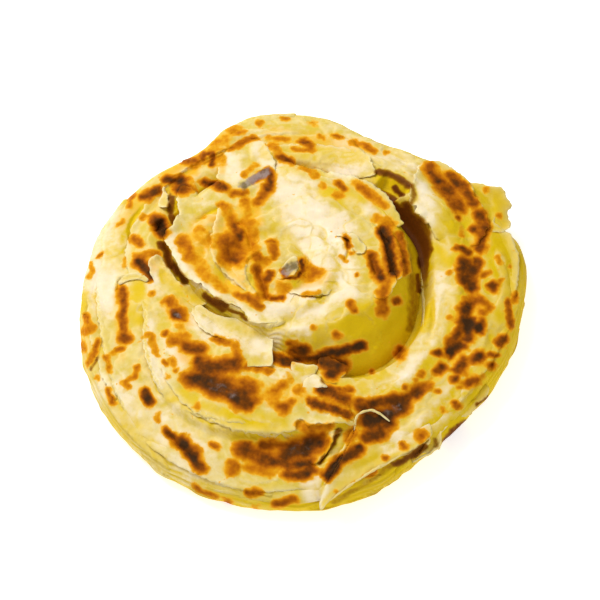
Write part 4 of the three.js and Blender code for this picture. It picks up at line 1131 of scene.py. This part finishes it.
def sheet_piece(name, surface, outline, material, seed, burn=1.0):
    """A thin torn sheet: a closed solid whose free edges are ragged and stand up."""
    loop = spline(outline, SHEET_EDGE, closed=True)
    edge, free = torn_edge(loop, SHEET_TEAR.get(name, 1.0), seed)
    flat, tris = fill_loop(edge)
    x, y = flat.T
    distance = distances(x, y, edge)
    near = distance.min(axis=1)
    weight = 1 / (distance + 0.3) ** 3
    lift = (weight * loop[:, 2]).sum(axis=1) / weight.sum(axis=1)
    freedom = (weight * free).sum(axis=1) / weight.sum(axis=1)
    z = surface(x, y) + SHEET_MIDDLE + (lift - SHEET_MIDDLE) * np.exp(-near / LIFT_FADE)
    rise, lip, foot = relief(x, y, z)
    waves = 0.45 * noise(x, y, 3.6, seed + 7) + 0.2 * noise(x, y, 1.5, seed + 8)
    curl = waves * freedom * np.exp(-near / CURL_FADE) * np.clip(lift, 0.3, 2)
    z = z + 0.35 * rise + curl + 0.08 * fractal(x, y, 2, seed + 9)
    looks = looks_of(x, y, z, 0.6 * lip, 0.6 * foot, slope_shade(surface, x, y))
    # Free edges get pale lips: the thin dough of a torn edge, and partly a painted highlight that fades in
    # painted shade.
    pale = freedom * (0.55 * np.exp(-near / 0.6) + 0.45 * np.exp(-near / 2.2))
    looks["lip"] = np.maximum(looks["lip"], pale * (1 - 0.4 * looks["shade"]))
    looks["burn"] = burn * looks["burn"]
    under = {key: values * UNDERSIDE_LOOKS[key] for key, values in looks.items()}
    # The underside is in painted shade.
    under["shade"] = np.maximum(under["shade"], UNDERSIDE_SHADE)
    both = {key: np.concatenate([values, under[key]]) for key, values in looks.items()}
    thickness = SHEET_THICKNESS * lerp(EDGE_THICKNESS, 1, ease(0, EDGE_WIDTH, near))
    points, faces = thicken(np.stack([x, y, z], 1), tris, thickness)
    make_piece(name, points, faces, both, material)


def sheet_pieces(material):
    """All the sheets, strips, ribbons and rim layers. The marks don't show on the ribbons."""
    for number, (name, (surface_name, outline)) in enumerate(SHEETS.items()):
        surface = SURFACES[surface_name]
        seed, burn = SHEET_SEED + SEED_STEP * number, SHEET_BURN.get(name, 1.0)
        sheet_piece(name, surface, placed_loop(outline, surface), material, seed, burn)
    for kind, rows, outline_of, first_seed, burn in (
            ("strip", STRIPS, strip_outline, STRIP_SEED, 1.0),
            ("ribbon", RIBBONS, ribbon_outline, RIBBON_SEED, 0.0)):
        for number, (surface_name, width, lift, *points) in enumerate(rows):
            surface = SURFACES[surface_name]
            loop = placed_loop(outline_of(width, lift, points), surface)
            seed = first_seed + SEED_STEP * number
            sheet_piece(f"{kind}_{number + 1:02d}", surface, loop, material, seed, burn)
    for number, numbers in enumerate(RIM_STRIPS):
        seed = RIM_SEED + SEED_STEP * number
        sheet_piece(f"rim_{number + 1:02d}", shelf_top, rim_outline(*numbers), material, seed)


# ---------------------------------------------------------------------------------------------------
# Materials.
def linear(*srgb):
    """A colour from 0 to 255 as Blender's linear colour with alpha."""
    return tuple(((c / 255 + 0.055) / 1.055) ** 2.4 if c > 10 else c / 255 / 12.92 for c in srgb) + (1.0,)


# Colours of the crust. BROWNING is (how brown, colour), from the palest mark to the darkest.
# The olives are painted shade and the gap colours painted shadow; the torn colour is the pale of torn lips,
# partly a painted highlight; the dry cream and the pale are dry dough, partly painted light.
BUTTER = linear(206, 180, 66)
DRY_AND_LIT_CREAM = linear(232, 216, 184)
PALE = linear(240, 230, 208)
GOLDEN = linear(228, 168, 20)
SHADE_OLIVE = linear(212, 179, 10)
DEEP_SHADE_OLIVE = linear(160, 114, 1)
TORN_LIP_AND_HIGHLIGHT = linear(236, 224, 182)
GAP_SHADOW_EDGE = linear(138, 88, 3)
GAP_SHADOW_FLOOR = linear(96, 48, 6)
ASH_DARK, ASH_LIGHT = linear(88, 74, 56), linear(146, 132, 128)
BROWNING = [
    (0.0, (226, 192, 84)), (0.18, (225, 168, 30)), (0.36, (206, 134, 4)), (0.54, (178, 102, 2)),
    (0.71, (140, 72, 2)), (0.86, (98, 51, 6)), (1.0, (62, 38, 16))]
NOISE_SHIFT = (0.37, 0.21, 0.13)


class Nodes:
    """Short ways to make and join the nodes of a new material."""

    def __init__(self, name):
        self.material = bpy.data.materials.new(name)
        self.material.use_nodes = True
        self.tree = self.material.node_tree
        self.tree.nodes.clear()
        self.place = self.node("ShaderNodeVectorMath", operation="ADD")
        self.feed(self.node("ShaderNodeTexCoord").outputs["Object"], self.place.inputs[0])
        self.feed(NOISE_SHIFT, self.place.inputs[1])

    def node(self, kind, **settings):
        made = self.tree.nodes.new(kind)
        for key, value in settings.items():
            setattr(made, key, value)
        return made

    def feed(self, value, socket):
        if isinstance(value, bpy.types.NodeSocket):
            self.tree.links.new(value, socket)
        else:
            socket.default_value = value

    def made_of(self, kind, values, **settings):
        """The output of a new node whose first inputs have these values."""
        made = self.node(kind, **settings)
        for socket, value in zip(made.inputs, values):
            self.feed(value, socket)
        return made.outputs[0]

    def maths(self, operation, a, b):
        return self.made_of("ShaderNodeMath", (a, b), operation=operation)

    def times(self, a, b):
        return self.maths("MULTIPLY", a, b)

    def add(self, first, *others):
        for other in others:
            first = self.maths("ADD", first, other)
        return first

    def swing(self, value, width):
        """A value round 0.5, turned into one round 0 and `width` times as wide."""
        return self.times(self.maths("SUBTRACT", value, 0.5), width)

    def remap(self, value, low, high, to_low=0.0, to_high=1.0):
        """A smooth step from to_low, at low, to to_high, at high."""
        values = (value, low, high, to_low, to_high)
        return self.made_of("ShaderNodeMapRange", values, interpolation_type="SMOOTHSTEP")

    def mix(self, a, b, factor):
        made = self.node("ShaderNodeMix", data_type="RGBA", blend_type="MIX")
        self.feed(factor, made.inputs[0])
        self.feed(a, made.inputs[6])
        self.feed(b, made.inputs[7])
        return made.outputs[2]

    def ramp(self, value, stops):
        made = self.node("ShaderNodeValToRGB")
        elements = made.color_ramp.elements
        while len(elements) < len(stops):
            elements.new(0.5)
        for element, (position, colour) in zip(elements, stops):
            element.position = position
            element.color = linear(*colour)
        self.feed(value, made.inputs[0])
        return made.outputs[0]

    def field(self, attribute):
        """One of the looks that looks_of gives each point."""
        return self.node("ShaderNodeAttribute", attribute_name=attribute).outputs["Fac"]

    def grain(self, size, detail=3.0):
        """Noise with features of about `size` millimetres."""
        made = self.node("ShaderNodeTexNoise", noise_dimensions="3D")
        self.feed(self.place.outputs[0], made.inputs["Vector"])
        self.feed(1.0 / (size * MM), made.inputs["Scale"])
        self.feed(detail, made.inputs["Detail"])
        self.feed(0.55, made.inputs["Roughness"])
        return made.outputs["Fac"]


def dough_colour(n, small, medium, broad, gap):
    """Dough without griddle marks: butter-yellow to cream, golden, painted olive shade, lip highlights and
    gap shadows.
    """
    shade = n.field("shade")
    paleness = n.add(n.field("cream"), n.swing(medium, 1.3), n.swing(broad, 1.1), n.swing(small, 1.0))
    stain = n.times(n.remap(n.field("gold"), 0.05, 0.75), n.remap(medium, 0.3, 0.7, 0.7, 1.0))
    # Paler towards dry cream: random tone, and in part painted light from the cream strokes.
    colour = n.mix(BUTTER, DRY_AND_LIT_CREAM, n.remap(paleness, -0.25, 0.9))
    colour = n.mix(colour, PALE, n.remap(paleness, 0.9, 1.6))
    colour = n.mix(colour, GOLDEN, stain)
    # Painted shade: olive, deep olive where it is strongest.
    colour = n.mix(colour, SHADE_OLIVE, n.remap(n.add(shade, n.swing(small, 0.7)), 0.0, 0.75))
    colour = n.mix(colour, DEEP_SHADE_OLIVE, n.remap(shade, 0.85, 1.4, 0.0, 0.6))
    # Pale lips: torn edges, partly a painted highlight.
    colour = n.mix(colour, TORN_LIP_AND_HIGHLIGHT, n.times(n.field("lip"), 0.75))
    # Painted shadow at the bottom of gaps.
    colour = n.mix(colour, GAP_SHADOW_EDGE, n.remap(gap, 0.3, 0.75))
    return n.mix(colour, GAP_SHADOW_FLOOR, n.remap(gap, 0.6, 1.1))


def burn_level(n, held, fine, medium, broad, gap):
    """How brown each point is: the marks, made uneven inside, and faint freckles outside the gaps."""
    lumps = n.add(n.swing(n.grain(2.6, 1.0), 0.42), n.swing(medium, 0.5), n.swing(fine, 0.09))
    freckle = n.times(n.remap(n.grain(1.9, 1.0), 0.66, 0.76), n.remap(broad, 0.42, 0.6, 0.0, 0.22))
    level = n.add(n.field("burn"), n.times(held, lumps))
    return n.maths("MAXIMUM", level, n.times(freckle, n.remap(gap, 0.3, 0.6, 1.0, 0.0)))


def crust_material():
    """Fried dough, browned by the marks, with ashen spots, fine relief and a little light inside it."""
    n = Nodes(SLOT)
    fine, small, medium, broad = n.grain(0.7), n.grain(2.0), n.grain(5.0), n.grain(16.0)
    gap = n.add(n.field("gap"), n.times(small, 0.3))
    held = n.remap(n.field("burn"), 0.03, 0.22)
    level = burn_level(n, held, fine, medium, broad, gap)
    colour = dough_colour(n, small, medium, broad, gap)
    colour = n.mix(colour, n.ramp(level, BROWNING), n.remap(level, 0.05, 0.26))
    ashen = n.add(n.field("ash"), n.swing(small, 0.9))
    bloom = n.mix(ASH_DARK, ASH_LIGHT, n.remap(medium, 0.4, 0.6))
    colour = n.mix(colour, bloom, n.remap(ashen, 0.3, 0.85, 0.0, 0.85))
    height = n.add(n.times(small, 1.2), n.times(fine, 0.5), n.times(held, n.times(fine, 0.7)))
    bump = n.node("ShaderNodeBump")
    for socket, value in (("Strength", 0.6), ("Distance", 0.0003), ("Height", height)):
        n.feed(value, bump.inputs[socket])
    shader = n.node("ShaderNodeBsdfPrincipled")
    for socket, value in (
            ("Base Color", colour),
            ("Roughness", n.remap(n.add(level, n.times(fine, 0.4)), 0.1, 0.9, 0.5, 0.72)),
            ("Specular IOR Level", 0.06),
            ("Subsurface Weight", 0.1),
            ("Subsurface Radius", (1.0, 0.75, 0.3)),
            ("Subsurface Scale", 0.0018),
            ("Normal", bump.outputs[0])):
        n.feed(value, shader.inputs[socket])
    n.feed(shader.outputs[0], n.node("ShaderNodeOutputMaterial").inputs["Surface"])
    return n.material


def paper_material():
    """White paper that glows a little, so that it stays white away from the bread's shadow."""
    material = bpy.data.materials.new("floor_paper")
    material.use_nodes = True
    inputs = material.node_tree.nodes["Principled BSDF"].inputs
    inputs["Base Color"].default_value = (0.93, 0.93, 0.92, 1)
    inputs["Roughness"].default_value = 0.9
    inputs["Emission Color"].default_value = (1, 1, 1, 1)
    inputs["Emission Strength"].default_value = 0.5
    return material


# ---------------------------------------------------------------------------------------------------
# Stage, lights and camera, in metres.
VIEW_HEIGHT = math.radians(58)
VIEW_DISTANCE = 0.8
VIEW_X, VIEW_Y, VIEW_Z = -1.2, 0.4, 8.0     # what the camera looks at, in the core's own millimetres
VIEW_TARGET = Vector((VIEW_X - MIDDLE[0], VIEW_Y - MIDDLE[1], VIEW_Z)) * MM
LENS, SENSOR = 133, 36
FAR_CLIP = 10
FLOOR_HALF = 2.5
KEY = dict(place=(-0.5, 0.4, 0.78), size=0.55, power=9.8, colour=(1.0, 0.985, 0.95))
FILL = dict(place=(0.4, -0.62, 0.48), size=0.5, power=2.3, colour=(1, 1, 1))
SKY, SKY_STRENGTH = (1.0, 0.99, 0.97, 1), 0.43


def add_floor():
    h = FLOOR_HALF
    mesh = bpy.data.meshes.new("floor")
    mesh.from_pydata([(-h, -h, 0), (h, -h, 0), (h, h, 0), (-h, h, 0)], [], [(0, 1, 2, 3)])
    mesh.materials.append(paper_material())
    floor = bpy.data.objects.new("floor", mesh)
    bpy.context.scene.collection.objects.link(floor)


def add_area(name, place, size, power, colour):
    """A square light that looks at the origin."""
    light = bpy.data.lights.new(name, "AREA")
    light.size = size
    light.energy = power
    light.color = colour
    lamp = bpy.data.objects.new(name, light)
    lamp.location = place
    lamp.rotation_euler = (-Vector(place)).to_track_quat("-Z", "Y").to_euler()
    bpy.context.scene.collection.objects.link(lamp)


def add_lights():
    add_area("key", **KEY)
    add_area("fill", **FILL)
    world = bpy.data.worlds.new("studio")
    world.use_nodes = True
    world.node_tree.nodes["Background"].inputs["Color"].default_value = SKY
    world.node_tree.nodes["Background"].inputs["Strength"].default_value = SKY_STRENGTH
    bpy.context.scene.world = world


def add_camera():
    camera = bpy.data.cameras.new("camera")
    camera.lens = LENS
    camera.sensor_width = SENSOR
    camera.clip_end = FAR_CLIP
    eye = bpy.data.objects.new("camera", camera)
    away = Vector((0, math.cos(VIEW_HEIGHT), -math.sin(VIEW_HEIGHT)))
    eye.location = VIEW_TARGET - VIEW_DISTANCE * away
    eye.rotation_euler = (math.pi / 2 - VIEW_HEIGHT, 0, 0)
    bpy.context.scene.collection.objects.link(eye)
    bpy.context.scene.camera = eye


add_camera()
add_lights()
add_floor()
crust = crust_material()
turn_piece(crust)
heart_piece(crust)
sheet_pieces(crust)

bpy.context.scene.view_settings.view_transform = "Standard"
